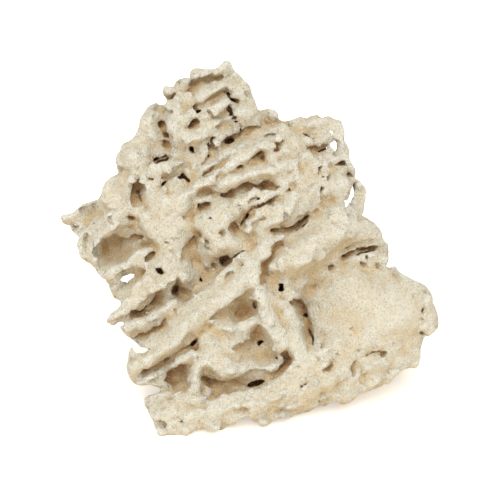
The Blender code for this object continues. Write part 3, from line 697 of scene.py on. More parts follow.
# %% Recesses of the upper right
RECESSES += [
    ([(236, 168), (240, 165), (247, 163), (253, 158), (257, 153), (262, 151), (266, 153), (268, 158), (267, 163),
      (262, 161), (258, 157), (255, 160), (250, 164), (243, 169)], 8, 2.5),
    ([(225, 198), (230, 193), (236, 187), (246, 182), (255, 183), (262, 180), (269, 180), (275, 184), (274, 190),
      (267, 191), (262, 188), (254, 188), (250, 191), (242, 191), (237, 193), (235, 199), (230, 200)], 8, 3),
    ([(199, 191), (205, 186), (212, 187), (220, 191), (222, 195), (214, 199), (206, 199), (198, 197)], 5, 5),
    ([(199, 204), (205, 201), (211, 200), (213, 207), (213, 211), (208, 210), (203, 212), (199, 210)], 8, 2.5),
    ([(249, 204), (250, 199), (256, 196), (260, 198), (261, 202), (255, 204)], 6, 3),
    ([(274, 200), (275, 208), (268, 207), (262, 208), (256, 210), (251, 213), (250, 218), (247, 220), (245, 217),
      (248, 212), (253, 207), (260, 204), (267, 203), (271, 199)], 8, 2.5),
    ([(242, 226), (246, 220), (247, 228), (243, 229)], 8, 1.5),
    ([(230, 227), (232, 223), (236, 224), (241, 228), (243, 236), (238, 238), (234, 233)], 6, 3),
    ([(269, 235), (272, 230), (278, 231), (288, 229), (296, 225), (303, 221), (308, 218), (310, 221), (304, 226),
      (297, 231), (290, 233), (282, 236), (275, 237)], 9, 2.5),
    ([(284, 220), (284, 216), (288, 212), (291, 211), (290, 216), (286, 219)], 5, 2.5),
    ([(276, 144), (281, 143), (286, 142), (283, 148), (279, 153), (277, 152), (279, 148)], 6, 2.5),
    ([(265, 137), (270, 133), (275, 132), (276, 136), (271, 140)], 4, 3),
    ([(308, 150), (311, 147), (320, 147), (323, 145), (330, 145), (327, 150), (323, 155), (317, 157), (313, 155),
      (312, 151)], 9, 3),
    ([(318, 170), (320, 166), (322, 171), (320, 176)], 8, 1.5),
    ([(327, 160), (332, 160), (333, 168), (332, 172), (327, 168)], 6, 3),
    ([(322, 180), (326, 177), (332, 176), (332, 180), (327, 183)], 6, 3),
    ([(336, 166), (341, 162), (345, 162), (346, 168), (341, 166)], 8, 2),
    ([(336, 150), (339, 149), (341, 155), (339, 159), (336, 155)], 6, 2),
    ([(336, 143), (340, 142), (341, 146), (337, 148)], 5, 2),
    ([(346, 174), (350, 173), (354, 176), (349, 178)], 8, 1.5),
    ([(321, 185), (324, 186), (325, 190), (323, 193), (327, 200), (325, 202), (321, 193)], 6, 1.5),
    ([(327, 203), (333, 200), (340, 203), (338, 208), (331, 207)], 4, 3),
    ([(343, 261), (343, 257), (350, 254), (356, 252), (362, 249), (369, 249), (376, 246), (381, 248), (378, 252),
      (372, 254), (366, 254), (360, 255), (354, 257), (348, 261)], 9, 2),
    ([(342, 250), (352, 244), (368, 240), (382, 240), (384, 246), (376, 248), (366, 250), (352, 254)], 3, 4),
    ([(328, 267), (332, 265), (335, 267), (334, 270), (330, 271)], 4, 1.5),
]
print("recesses so far", len(RECESSES))

# %% Recesses of the left
RECESSES += [
    ([(94, 243), (100, 242), (110, 240), (116, 235), (121, 238), (128, 239), (134, 235), (142, 234), (149, 235),
      (153, 239), (155, 243), (155, 248), (148, 248), (140, 250), (134, 257), (126, 262), (117, 264), (112, 261),
      (110, 268), (103, 269), (97, 262), (94, 254)], 8, 5),
    ([(143, 262), (147, 256), (153, 251), (157, 254), (154, 260), (148, 263), (142, 267)], 6, 3),
    ([(122, 272), (127, 267), (134, 264), (136, 269), (131, 273), (124, 277)], 5, 3),
    ([(113, 295), (120, 290), (130, 284), (134, 288), (131, 294), (124, 299), (116, 298)], 4, 5),
    ([(79, 211), (84, 206), (92, 203), (98, 206), (101, 211), (94, 212), (86, 215)], 4, 3),
    ([(156, 270), (162, 269), (165, 274), (160, 276), (157, 274)], 10, 2),
    ([(131, 318), (131, 311), (138, 310), (147, 309), (154, 303), (157, 296), (155, 291), (162, 288), (165, 295),
      (164, 306), (157, 309), (152, 312), (146, 312), (140, 316), (135, 319)], 8, 3),
    ([(171, 294), (172, 287), (176, 283), (180, 281), (184, 287), (189, 290), (194, 293), (198, 296), (193, 301),
      (188, 305), (184, 307), (182, 301), (176, 296)], 8, 3),
    ([(136, 340), (138, 335), (150, 332), (160, 325), (167, 320), (168, 328), (163, 338), (155, 343), (148, 348),
      (140, 348)], 7, 4),
    ([(106, 325), (112, 323), (118, 318), (126, 317), (130, 319), (124, 323), (118, 327), (112, 329)], 6, 3),
    ([(193, 236), (198, 238), (199, 246), (198, 252), (203, 258), (206, 265), (212, 272), (213, 278), (205, 283),
      (198, 279), (190, 268), (185, 262), (182, 256), (184, 247)], 6, 5),
]
print("recesses so far", len(RECESSES))

# %% Recesses of the lower front
RECESSES += [
    ([(142, 376), (144, 371), (152, 370), (160, 363), (169, 358), (177, 353), (186, 349), (190, 345), (194, 341),
      (200, 338), (199, 343), (194, 347), (186, 350), (177, 356), (170, 361), (161, 367), (153, 372), (146, 377)],
     7, 2.5),
    ([(180, 342), (186, 334), (193, 331), (198, 334), (199, 339), (190, 343), (184, 346)], 5, 4),
    ([(166, 376), (172, 370), (180, 365), (186, 366), (190, 370), (188, 378), (184, 386), (176, 388), (170, 386),
      (163, 382)], 9, 5),
    ([(202, 380), (204, 374), (210, 377), (214, 379), (222, 382), (230, 380), (240, 376), (250, 371), (262, 371),
      (272, 372), (279, 370), (283, 367), (288, 366), (284, 372), (278, 378), (268, 383), (262, 387), (252, 389),
      (245, 391), (235, 391), (225, 394), (216, 397), (210, 392), (206, 385)], 6.5, 5),
    ([(282, 354), (288, 353), (290, 358), (292, 361), (289, 366), (284, 371), (280, 370), (283, 363)], 8, 1.5),
    ([(232, 349), (236, 344), (243, 340), (250, 337), (256, 330), (258, 322), (262, 326), (266, 333), (271, 338),
      (274, 345), (272, 352), (275, 358), (272, 364), (262, 367), (250, 367), (240, 366), (234, 364), (240, 358),
      (236, 352)], 6, 5),
    ([(206, 320), (214, 312), (226, 305), (238, 297), (250, 290), (257, 290), (259, 304), (258, 314), (251, 318),
      (242, 322), (230, 323), (216, 322)], 5.5, 14),
    ([(235, 321), (237, 314), (242, 308), (248, 302), (256, 298), (258, 305), (258, 312), (252, 316), (246, 319),
      (240, 322)], 5, 3),
    ([(220, 264), (222, 260), (226, 256), (232, 257), (234, 261), (232, 266), (227, 269), (222, 267)], 11, 2),
    ([(227, 257), (233, 253), (240, 250), (246, 249), (244, 253), (238, 255), (233, 258)], 7, 2),
    ([(212, 263), (219, 265), (218, 271), (214, 270)], 5, 2),
    ([(224, 281), (229, 274), (233, 271), (237, 275), (234, 280), (228, 283)], 4, 3),
    ([(262, 262), (268, 258), (272, 252), (277, 244), (283, 241), (286, 248), (282, 256), (276, 257), (270, 265),
      (270, 270), (276, 274), (270, 276), (266, 276), (268, 283), (265, 290), (261, 285), (260, 274)], 4, 4),
    ([(289, 302), (296, 301), (303, 303), (307, 310), (310, 320), (315, 332), (314, 341), (312, 347), (309, 345),
      (305, 337), (301, 325), (298, 318), (296, 310), (291, 307)], 10, 3),
    ([(313, 262), (322, 268), (322, 282), (314, 294), (306, 302), (298, 300), (302, 290), (308, 278)], 3, 9),
    ([(319, 350), (321, 345), (325, 344), (324, 348), (321, 352)], 4, 2),
]
for corners, depth, slope in RECESSES:
    recess(corners, depth, slope)
print("recesses", len(RECESSES))

# %% Lumps left in the recesses
LUMPS = [
    [(243, 315, -4.5, 4), (250, 312, -5, 4.5)],
    [(254, 189, -3, 4), (260, 187, -4, 4)],
    [(262, 155, -6, 2), (263, 160, -6, 2)],
    [(138, 246, -4, 2.5), (146, 243, -4, 2.5), (152, 240, -5, 2)],
    [(182, 290, -5, 3), (189, 297, -4, 3)],
    [(207, 388, -5, 4), (216, 391, -6, 4)],
]
for path in LUMPS:
    ridge(path, melt=1.5)
print("lumps", len(LUMPS))

# %% Holes of the top
HOLES = [
    [(193, 93, 11, 2)],
    [(230, 100, 12, 1.4), (234, 101, 12, 1.6), (238, 102, 10, 1.2)],
    [(229, 108, 12, 1.4), (231, 115, 13, 1.6)],
    [(234, 121, 12, 1.4), (238, 120, 12, 1.2)],
    [(242, 126, 12, 1.6), (240, 130, 11, 1.4)],
    [(209, 147, 9, 0.8), (207, 156, 12, 1.6)],
    [(214, 138, 8, 1.6)],
    [(189, 127, 13, 1.8)],
    [(168, 135, 12, 1.6), (169, 140, 12, 1.2)],
    [(151, 178, 7, 1.6)],
    [(166, 188, 6, 1.6)],
    [(133, 192, 12, 1.2), (137, 188, 11, 1)],
    [(141, 197, 14, 2), (143, 203, 13, 1.6)],
    [(209, 84, 8, 1), (215, 81, 9, 1), (221, 80, 8, 0.8)],
    [(172, 113, 5, 1.2)],
]
print("holes so far", len(HOLES))

# %% Holes of the upper right
HOLES += [
    [(344, 259, 9, 1), (350, 256, 10, 1.2), (355, 254, 11, 1.4), (360, 252, 13, 1.6), (367, 251, 13, 1.5),
     (374, 250, 14, 2), (379, 249, 10, 1.2)],
    [(275, 235, 9, 1), (288, 231, 11, 1.2), (298, 227, 13, 1.4), (307, 221, 13, 1.2)],
    [(251, 161, 12, 1.2), (256, 156, 13, 1.4), (263, 155, 12, 1.6)],
    [(232, 154, 5, 1.2), (236, 152, 4, 1)],
    [(206, 173, 6, 1), (213, 169, 6, 1)],
    [(249, 203, 7, 1.6)],
    [(239, 206, 5, 1.4)],
    [(286, 216, 7, 1.4), (290, 212, 6, 1.2)],
    [(285, 219, 6, 1)],
    [(270, 236, 8, 1), (280, 235, 10, 1.4), (292, 231, 12, 1.4), (301, 227, 13, 1.4), (308, 221, 12, 1)],
    [(203, 206, 12, 1.2)],
    [(220, 217, 6, 1.6)],
    [(220, 235, 8, 1), (223, 236, 7, 1)],
    [(201, 237, 7, 1.8)],
    [(207, 248, 7, 0.8)],
    [(279, 150, 9, 1.2), (283, 145, 7, 1.4)],
    [(290, 191, 4, 1.2)],
    [(295, 131, 8, 1.2), (299, 132, 8, 1), (304, 135, 7, 0.8), (309, 138, 6, 0.7), (313, 142, 4, 0.6)],
    [(326, 147, 15, 1.8), (329, 146, 15, 1.6)],
    [(339, 157, 11, 1.2)],
    [(331, 169, 10, 1.2)],
    [(319, 168, 11, 1.3), (320, 173, 10, 1.4)],
    [(340, 165, 12, 1.4), (344, 165, 12, 1.4)],
    [(347, 174, 11, 1.4), (349, 175, 10, 1)],
    [(322, 186, 10, 1.3), (323, 190, 8, 0.9), (322, 194, 6, 0.8), (326, 201, 6, 1.2)],
    [(330, 210, 6, 1.2)],
    [(346, 201, 12, 1.3)],
    [(331, 221, 8, 1.2)],
    [(361, 221, 7, 1.4)],
    [(348, 236, 9, 1)],
    [(370, 261, 9, 1.7)],
    [(365, 266, 8, 1)],
    [(379, 267, 7, 1)],
]
print("holes so far", len(HOLES))

# %% Holes of the left
HOLES += [
    [(167, 244, 5, 0.7), (173, 241, 6, 0.8), (178, 235, 5, 0.7)],
    [(176, 220, 4, 0.6), (182, 218, 4, 0.7)],
    [(182, 259, 6, 0.9), (186, 256, 5, 0.8)],
    [(178, 284, 14, 1.8), (177, 291, 12, 1.2)],
    [(183, 301, 13, 1.2), (185, 302, 13, 1)],
    [(195, 297, 10, 1.2)],
    [(112, 217, 8, 1.2)],
    [(112, 222, 6, 0.9)],
    [(134, 219, 14, 1.6)],
    [(111, 239, 13, 1), (117, 236, 13, 1)],
    [(141, 235, 13, 0.9), (147, 236, 13, 1.1)],
    [(153, 242, 12, 1.4)],
    [(141, 244, 11, 1)],
    [(139, 256, 7, 1.1)],
    [(136, 315, 10, 1.4), (146, 312, 13, 1.4), (154, 309, 14, 1.4), (160, 304, 14, 1.4)],
    [(134, 327, 8, 1.2)],
    [(145, 328, 8, 1.2)],
    [(84, 213, 5, 1), (95, 210, 6, 1)],
    [(110, 190, 4, 0.9)],
    [(175, 315, 9, 1)],
]
print("holes so far", len(HOLES))

# %% Holes of the lower front
HOLES += [
    [(236, 364, 8, 1.1), (239, 362, 6, 0.9)],
    [(225, 350, 7, 0.7)],
    [(216, 338, 9, 1)],
    [(203, 374, 12, 1.2)],
    [(177, 421, 8, 1), (182, 420, 9, 1), (186, 419, 9, 0.9)],
    [(216, 408, 4, 1)],
    [(331, 371, 7, 1.1), (327, 373, 6, 1)],
    [(322, 346, 5, 1.7), (320, 350, 5, 1.3)],
    [(322, 360, 5, 1)],
    [(335, 356, 5, 1)],
    [(299, 366, 4, 1.8)],
    [(295, 378, 5, 1.3)],
    [(304, 385, 4, 0.9)],
    [(321, 404, 6, 1)],
    [(412, 297, 7, 1.2)],
    [(423, 306, 6, 0.8), (422, 312, 7, 1)],
    [(420, 315, 10, 1.6), (424, 318, 8, 2.6)],
    [(393, 344, 6, 1.4)],
    [(368, 356, 8, 1.2), (373, 354, 8, 1.1), (380, 352, 7, 1), (386, 354, 5, 0.8)],
    [(354, 366, 5, 0.9), (355, 371, 7, 1.2), (353, 378, 7, 1.1)],
    [(421, 333, 8, 1.2), (428, 332, 8, 1.2)],
    [(143, 372, 10, 1.2), (150, 370, 11, 1.1)],
    [(168, 359, 12, 1), (170, 357, 12, 1)],
    [(173, 384, 14, 2), (178, 379, 15, 2), (184, 374, 14, 1.6)],
    [(199, 349, 9, 1), (196, 354, 10, 1.2), (195, 359, 8, 1)],
]
for path in HOLES:
    hollow(path, melt=1.0)
print("holes", len(HOLES))

# %% [markdown]
# ## Weathering
#
# Beds of harder and softer lime wear back by different amounts, which a field that is wide along the beds and
# close across them gives. Finer fields give the crumbly skin. The broad slab at the lower right and the block
# above it are worn smoother than the rest.

# %% Wearing the surface
SMOOTH_PLACES = [(378, 305, 50, 34), (300, 256, 26, 20), (330, 238, 18, 22), (395, 330, 34, 26)]
SMOOTHED_BY = 0.75
WORN_REACH = 9
WEAR = [
    ((26, 6, 18), 0.0, 1.0),
    ((8, 5, 7), 0.0, 0.7),
    ((3.9, 3.3, 3.6), 0.25, 0.4),
    ((2.4, 2.2, 2.4), 0.2, 0.3),
]
near = np.argwhere(np.abs(stone) < WORN_REACH)
spots = tuple(near.T)
x, y = sketch_place(LOW + VOXEL * near)
smoothness = np.zeros(len(near), np.float32)
for middle_x, middle_y, half_across, half_down in SMOOTH_PLACES:
    off = ((x - middle_x) / half_across) ** 2 + ((y - middle_y) / half_down) ** 2
    smoothness = np.maximum(smoothness, np.exp(-off ** 2))
rough = 1 - SMOOTHED_BY * smoothness
for spacings, everywhere, where_rough in WEAR:
    stone[spots] += (everywhere + where_rough * rough) * random_field(*spacings)[spots]
print("worn points", len(near))

# %% [markdown]
# ## Holes that look black
#
# The photograph's darkest spots are small holes. Weathering would close them again, so they are cut after it,
# and straight in along the line of sight, so deep that hardly any light gets to the floor.

# %% Holes that look black
PITS = [
    ([(195.5, 113), (197, 110.5), (201, 109), (201.5, 111), (199, 113.5), (196.5, 114.5)], 22),
    ([(229, 101.5), (230, 99.5), (234, 99.5), (238, 101), (237, 103), (232, 102.5)], 18),
    ([(228.5, 116), (229, 110), (231.5, 110), (231.5, 114), (230.5, 116.5)], 18),
    ([(234, 121.5), (236, 120), (239, 120), (238, 122.5), (235, 123)], 18),
    ([(240, 130), (240.5, 126), (242.5, 126), (242, 130), (241, 132)], 18),
    ([(224.5, 142), (226, 138.5), (230, 137), (234.5, 137.5), (235, 140.5), (231, 143), (226, 143.5)], 22),
    ([(190, 147), (193.5, 147), (194, 150), (195.5, 153.5), (193, 152.5), (190.5, 151)], 22),
    ([(206.5, 157), (207, 154), (209, 154.5), (209, 157.5)], 16),
    ([(166, 138), (166.5, 132.5), (169, 132.5), (169.5, 138)], 16),
    ([(155, 163.5), (157, 160), (161, 158.5), (164, 159), (168.5, 156.5), (169.5, 158), (165, 161.5), (160, 163),
      (156.5, 165)], 20),
    ([(159.5, 186), (163, 182.5), (168.5, 180), (165, 184.5), (161, 187.5)], 18),
    ([(177.5, 178.5), (183, 176.5), (185, 178), (188, 180), (190.5, 183), (187, 183.5), (183, 180), (178.5, 180)],
     20),
    ([(256.5, 200), (258, 198.5), (260.5, 198.5), (261, 200.5), (259, 202), (257, 201.5)], 24),
    ([(209, 217), (211, 215.5), (213, 216.5), (213, 218.5), (210.5, 219)], 22),
    ([(245, 219), (247, 214.5), (250.5, 213.5), (249.5, 217), (247.5, 220)], 18),
    ([(221, 262), (223, 258), (227, 256.5), (231, 258.5), (233, 262), (230, 265), (225, 267), (222, 266)], 18),
    ([(277.5, 283), (283, 283), (283, 286), (284, 291), (282, 292), (278, 291.5), (277.5, 289), (279, 287)], 26),
    ([(156.5, 270), (161, 270), (163.5, 273), (161, 275), (157.5, 274)], 20),
    ([(198, 278.5), (200, 278), (202.5, 281), (203.5, 283.5), (201, 283.5), (198.5, 281)], 20),
    ([(174, 289), (176, 284), (180, 284), (180, 288), (177, 292)], 18),
    ([(189.5, 344.5), (193, 341), (198, 338.5), (196.5, 342.5), (193.5, 346.5), (191, 346.5)], 22),
    ([(256, 342), (258, 339.5), (261, 339), (265, 340.5), (261, 342.5), (259, 345.5), (257, 345)], 24),
    ([(273.5, 357), (277, 357), (277.5, 359.5), (275, 360)], 20),
    ([(245, 386), (249, 382), (256, 379.5), (263, 379), (266, 380), (262, 383), (256, 386), (250, 387.5)], 24),
    ([(301.5, 315.5), (304, 314), (306.5, 316.5), (306, 318.5), (303, 317.5)], 22),
    ([(308, 325), (311, 330), (314, 338), (313.5, 345.5), (311.5, 345.5), (311.5, 338), (309, 331)], 20),
    ([(231, 259), (236, 255), (242, 251.5), (246, 249.5), (246, 251.5), (241, 254), (236, 257.5), (232, 261)], 12),
    ([(253, 300.5), (257, 299.5), (258, 306), (256, 311), (254, 308)], 18),
    ([(294, 231), (300, 227.5), (305, 224), (308.5, 219.5), (308.5, 222.5), (304, 227), (298, 230.5)], 16),
    ([(355, 255), (361, 252), (368, 251), (376, 248.5), (377, 250), (370, 253), (363, 254), (357, 256.5)], 16),
    ([(344.5, 203), (345, 199.5), (348, 199.5), (347, 203)], 16),
    ([(315, 152), (321, 149.5), (328, 147), (329, 149), (322, 152), (317, 154)], 18),
]
for corners, depth in PITS:
    pit(corners, depth)
print("pits", len(PITS))

# %% [markdown]
# ## The outline
#
# The photograph's own edge of the stone is the surest measure there is of its shape. Seen from the front, what
# stands outside it is cut off, after a row of lumps along it has filled the places where the solid falls short.

# %% Outline points
OUTLINE = [
    (226, 59), (231, 62), (234, 69), (239, 74), (245, 80), (250, 84), (252, 93), (256, 102), (258, 110), (262, 110),
    (268, 108), (276, 110), (279, 114), (279, 119), (285, 121), (290, 120), (295, 118), (300, 116), (304, 117),
    (309, 116), (317, 114), (322, 118), (328, 114), (333, 118), (341, 120), (343, 125), (345, 130), (345, 141),
    (350, 148), (350, 158), (352, 163), (357, 171), (355, 178), (360, 181), (363, 185), (364, 190), (364, 200),
    (362, 215), (370, 219), (375, 223), (380, 228), (385, 236), (386, 241), (389, 244), (390, 252), (389, 260),
    (386, 267), (392, 267), (395, 265), (399, 271), (405, 275), (415, 280), (425, 284), (431, 292), (434, 298),
    (434, 303), (437, 310), (440, 324), (438, 330), (434, 334), (428, 337), (425, 336), (423, 342), (421, 348),
    (421, 358), (420, 365), (416, 369), (410, 368), (404, 370), (400, 373), (393, 380), (388, 385), (384, 384),
    (380, 389), (368, 393), (360, 394), (355, 399), (350, 403), (342, 405), (334, 400), (325, 407), (320, 405),
    (312, 411), (305, 413), (295, 415), (288, 419), (280, 419), (272, 421), (268, 426), (262, 427), (256, 424),
    (251, 419), (248, 416), (238, 421), (235, 425), (227, 426), (222, 431), (214, 434), (208, 432), (203, 429),
    (196, 430), (188, 436), (180, 436), (172, 439), (166, 440), (160, 438), (156, 433), (153, 421), (146, 410),
    (144, 403), (144, 398), (149, 395), (160, 392), (160, 388), (150, 385), (141, 386), (136, 385), (132, 382),
    (129, 377), (127, 372), (126, 366), (128, 360), (128, 353), (130, 349), (132, 345), (133, 350), (137, 353),
    (144, 353), (150, 349), (141, 347), (134, 341), (130, 338), (126, 336), (119, 327), (125, 324), (123, 322),
    (119, 322), (114, 326), (109, 325), (106, 322), (107, 318), (111, 313), (117, 309), (121, 304), (120, 301),
    (113, 298), (109, 288), (108, 284), (104, 281), (97, 273), (94, 268), (90, 264), (85, 262), (81, 259), (79, 255),
    (78, 249), (76, 245), (78, 240), (78, 236), (74, 234), (71, 230), (70, 226), (66, 225), (61, 223), (59, 219),
    (61, 215), (67, 214), (73, 212), (82, 204), (88, 202), (98, 199), (101, 194), (102, 188), (105, 182), (110, 177),
    (119, 173), (116, 168), (115, 161), (116, 155), (120, 150), (121, 145), (125, 142), (131, 140), (135, 135),
    (138, 128), (140, 118), (144, 112), (148, 106), (156, 102), (160, 105), (165, 104), (167, 100), (163, 95),
    (162, 91), (164, 85), (173, 87), (175, 82), (179, 78), (184, 77), (190, 78), (189, 73), (191, 69), (195, 67),
    (202, 68), (210, 69), (216, 68), (220, 65), (223, 60),
]


SKETCH_SIZE = 2 * SKETCH_MIDDLE
rows, columns = np.mgrid[0:SKETCH_SIZE, 0:SKETCH_SIZE].astype(np.float32)
edge_map = shape_distance(columns, rows, OUTLINE)
print("stone covers", int((edge_map < 0).sum()), "of the sketch's units")

# %% Filling up to the outline
RIM_INSET = 5
RIM_RADIUS = 5.5
RIM_SEARCH = 14
RIM_SUNK = 1.5
RIM_MELT = 3


def inset_point(x, y, inset):
    """The point that lies that far inside the outline from a point on it."""
    for _ in range(3):
        i, j = int(round(y)), int(round(x))
        slope_x = edge_map[i, j + 2] - edge_map[i, j - 2]
        slope_y = edge_map[i + 2, j] - edge_map[i - 2, j]
        size = math.hypot(slope_x, slope_y) or 1
        lacking = inset + edge_map[i, j]
        x, y = x - slope_x / size * lacking, y - slope_y / size * lacking
    return x, y


def rim_beads():
    """Sets a lump just inside the outline wherever no stone stands there, and counts them."""
    count = 0
    for (ax, ay), (bx, by) in zip(OUTLINE, OUTLINE[1:] + OUTLINE[:1]):
        x, y = inset_point((ax + bx) / 2, (ay + by) / 2, RIM_INSET)
        if surface_out(x, y, stone) is not None and surface_out((ax + bx) / 2, (ay + by) / 2, stone) is not None:
            continue
        deeper = surface_out(*inset_point(x, y, RIM_SEARCH), stone)
        if deeper is not None:
            spot = bed_point(x, y, deeper - RIM_SUNK * RIM_RADIUS)
            add_bar(spot, spot, RIM_RADIUS, RIM_RADIUS, RIM_MELT)
            count += 1
    return count


print("rim beads", rim_beads())

# %% Cutting at the outline
CUT_REACH = 3
CUT_OUTSIDE = 0.2
CUT_MELT = 1.5
near = np.argwhere(stone < CUT_REACH)
x, y = sketch_place(LOW + VOXEL * near)
x, y = x.clip(0, SKETCH_SIZE - 2), y.clip(0, SKETCH_SIZE - 2)
i, j = y.astype(int), x.astype(int)
u, v = x - j, y - i
outside = (edge_map[i, j] * (1 - u) + edge_map[i, j + 1] * u) * (1 - v)
outside += (edge_map[i + 1, j] * (1 - u) + edge_map[i + 1, j + 1] * u) * v
spots = tuple(near.T)
stone[spots] = -smooth_least(-stone[spots], -outside.astype(np.float32) - CUT_OUTSIDE, CUT_MELT)
print("grid points outside the outline", int((outside > 0).sum()))

# %% Holes right through
SEEN_THROUGH = [
    [(120, 279), (124, 277), (128, 276), (130, 274.5), (134, 274), (132, 277.5), (128, 280), (122, 281)],
    [(330, 130), (332, 130), (334, 134), (331, 135), (330, 132)],
    [(331, 145), (333, 143), (336, 144), (337, 147), (335, 149), (332, 148)],
    [(355, 180), (356, 181), (355, 190), (354, 197), (351, 202), (348, 207), (346, 208), (345, 206), (348, 201),
     (350, 196), (351, 190), (353, 184)],
]
for corners in SEEN_THROUGH:
    cut_through(corners)
print("holes right through", len(SEEN_THROUGH))

# %% The horn
HORN = [(358, 184, -1, 4), (361, 192, 0, 4.2), (360, 202, 0, 4.6), (357, 210, 0, 5.5)]
ridge(HORN)
print("horn points", len(HORN))

# %% [markdown]
# ## Pores
#
# The skin has small pores in it. They repeat over the surface, so Geometry Nodes scatter them: points spread
# over the faces with a least distance between them, a small lump on each with a random size, made real, and then
# taken out of the grid as one shape. The lumps lie flat in the beds. Few of them are on the front, which has its
# own holes from the photograph.

# %% A tree that scatters lumps
MOST_LUMPS_TO_AREA = 0.08
FLAT_LUMP = (1.5, 0.8, 1.3)
SIDEWAYS = -0.1
FRONTAL = 0.3


def lump_scatter(name):
    """Points over a surface, with a flat lump of a random size on each, and fewer where it faces the front."""
    tree = bpy.data.node_groups.new(name, "GeometryNodeTree")
    face = tree.interface
    face.new_socket("Surface", in_out="INPUT", socket_type="NodeSocketGeometry")
    for label in ("Spacing", "Smallest", "Largest", "Share on the front"):
        face.new_socket(label, in_out="INPUT", socket_type="NodeSocketFloat")
    face.new_socket("Seed", in_out="INPUT", socket_type="NodeSocketInt")
    face.new_socket("Lumps", in_out="OUTPUT", socket_type="NodeSocketGeometry")
    way_in = tree.nodes.new("NodeGroupInput").outputs
    way_out = tree.nodes.new("NodeGroupOutput").inputs
    scatter = tree.nodes.new("GeometryNodeDistributePointsOnFaces")
    scatter.distribute_method = "POISSON"
    tree.links.new(way_in["Surface"], scatter.inputs["Mesh"])
    tree.links.new(way_in["Spacing"], scatter.inputs["Distance Min"])
    scatter.inputs["Density Max"].default_value = MOST_LUMPS_TO_AREA
    facing = tree.nodes.new("ShaderNodeSeparateXYZ")
    tree.links.new(tree.nodes.new("GeometryNodeInputNormal").outputs["Normal"], facing.inputs["Vector"])
    share = tree.nodes.new("ShaderNodeMapRange")
    share.inputs["From Min"].default_value = SIDEWAYS
    share.inputs["From Max"].default_value = FRONTAL
    share.inputs["To Min"].default_value = 1.0
    tree.links.new(facing.outputs["Z"], share.inputs["Value"])
    tree.links.new(way_in["Share on the front"], share.inputs["To Max"])
    tree.links.new(share.outputs["Result"], scatter.inputs["Density Factor"])
    tree.links.new(way_in["Seed"], scatter.inputs["Seed"])
    size = tree.nodes.new("FunctionNodeRandomValue")
    size.data_type = "FLOAT"
    tree.links.new(way_in["Smallest"], size.inputs[2])
    tree.links.new(way_in["Largest"], size.inputs[3])
    tree.links.new(way_in["Seed"], size.inputs["Seed"])
    lump = tree.nodes.new("GeometryNodeMeshIcoSphere")
    lump.inputs["Radius"].default_value = 1.0
    lump.inputs["Subdivisions"].default_value = 2
    flat = tree.nodes.new("GeometryNodeTransform")
    flat.inputs["Scale"].default_value = FLAT_LUMP
    tree.links.new(lump.outputs["Mesh"], flat.inputs["Geometry"])
    put = tree.nodes.new("GeometryNodeInstanceOnPoints")
    tree.links.new(scatter.outputs["Points"], put.inputs["Points"])
    tree.links.new(flat.outputs["Geometry"], put.inputs["Instance"])
    tree.links.new(size.outputs[1], put.inputs["Scale"])
    real = tree.nodes.new("GeometryNodeRealizeInstances")
    tree.links.new(put.outputs["Instances"], real.inputs["Geometry"])
    paint = tree.nodes.new("GeometryNodeSetMaterial")
    tree.links.new(real.outputs["Geometry"], paint.inputs["Geometry"])
    tree.links.new(paint.outputs["Geometry"], way_out["Lumps"])
    return tree


SCATTER = lump_scatter("scattered lumps")
print("scattering tree with", len(SCATTER.nodes), "nodes")

# %% Scattering the lumps
BAND = 3 * VOXEL
COARSE = 2


def grid_surface(coarse):
    """The surface at present, from every second grid point, as a light mesh to scatter on."""
    clipped = np.clip(stone, -BAND, BAND)[::coarse, ::coarse, ::coarse]
    grid = vdb.FloatGrid()
    grid.background = BAND
    grid.copyFromArray(np.ascontiguousarray(clipped))
    points, _, quads = grid.convertToPolygons(isovalue=0.0, adaptivity=0.0)
    mesh = bpy.data.meshes.new("surface to scatter on")
    mesh.from_pydata(points * VOXEL * coarse + LOW, [], quads)
    made = bpy.data.objects.new("surface to scatter on", mesh)
    bpy.context.scene.collection.objects.link(made)
    return made


def scattered(spacing, smallest, largest, front_share, seed):
    """The lumps' corners and triangles, in the grid's own directions and units."""
    carrier = grid_surface(COARSE)
    step = carrier.modifiers.new("scatter", "NODES")
    step.node_group = SCATTER
    values = {"Spacing": spacing, "Smallest": smallest, "Largest": largest, "Seed": seed}
    values["Share on the front"] = front_share
    for item in SCATTER.interface.items_tree:
        if item.name in values:
            step[item.identifier] = values[item.name]
    graph = bpy.context.evaluated_depsgraph_get()
    lumps = bpy.data.meshes.new_from_object(carrier.evaluated_get(graph))
    bpy.data.objects.remove(carrier)
    corners = np.empty(len(lumps.vertices) * 3, np.float32)
    lumps.vertices.foreach_get("co", corners)
    faces = np.empty(len(lumps.polygons) * 3, np.int32)
    lumps.polygons.foreach_get("vertices", faces)
    bpy.data.meshes.remove(lumps)
    return corners.reshape(-1, 3), faces.reshape(-1, 3)


# %% Carving the pores
PORE_REACH = 4
PORE_EDGE = 3.5
CORNERS_OF_A_LUMP = 42


def carve_pores(spacing, smallest, largest, front_share, seed, melt):
    """Takes scattered lumps out of the stone, with their edges rounded by the melting."""
    lumps, faces = scattered(spacing, smallest, largest, front_share, seed)
    pores = distances(lumps, faces, PORE_REACH)
    close = pores < PORE_EDGE
    stone[close] = -smooth_least(-stone[close], pores[close], melt)
    print("pores of", smallest, "to", largest, "units:", len(lumps) // CORNERS_OF_A_LUMP)


carve_pores(spacing=17, smallest=1.8, largest=5.0, front_share=0.0, seed=3, melt=2.0)
carve_pores(spacing=10, smallest=1.0, largest=2.4, front_share=0.12, seed=5, melt=1.0)

# %% [markdown]
# ## Back to a mesh
#
# The surface is where the distance is nought. Crumbs that carving cut loose are dropped, and the mesh is
# thinned to a size that exports well, first all over and then once more where it faces the front.

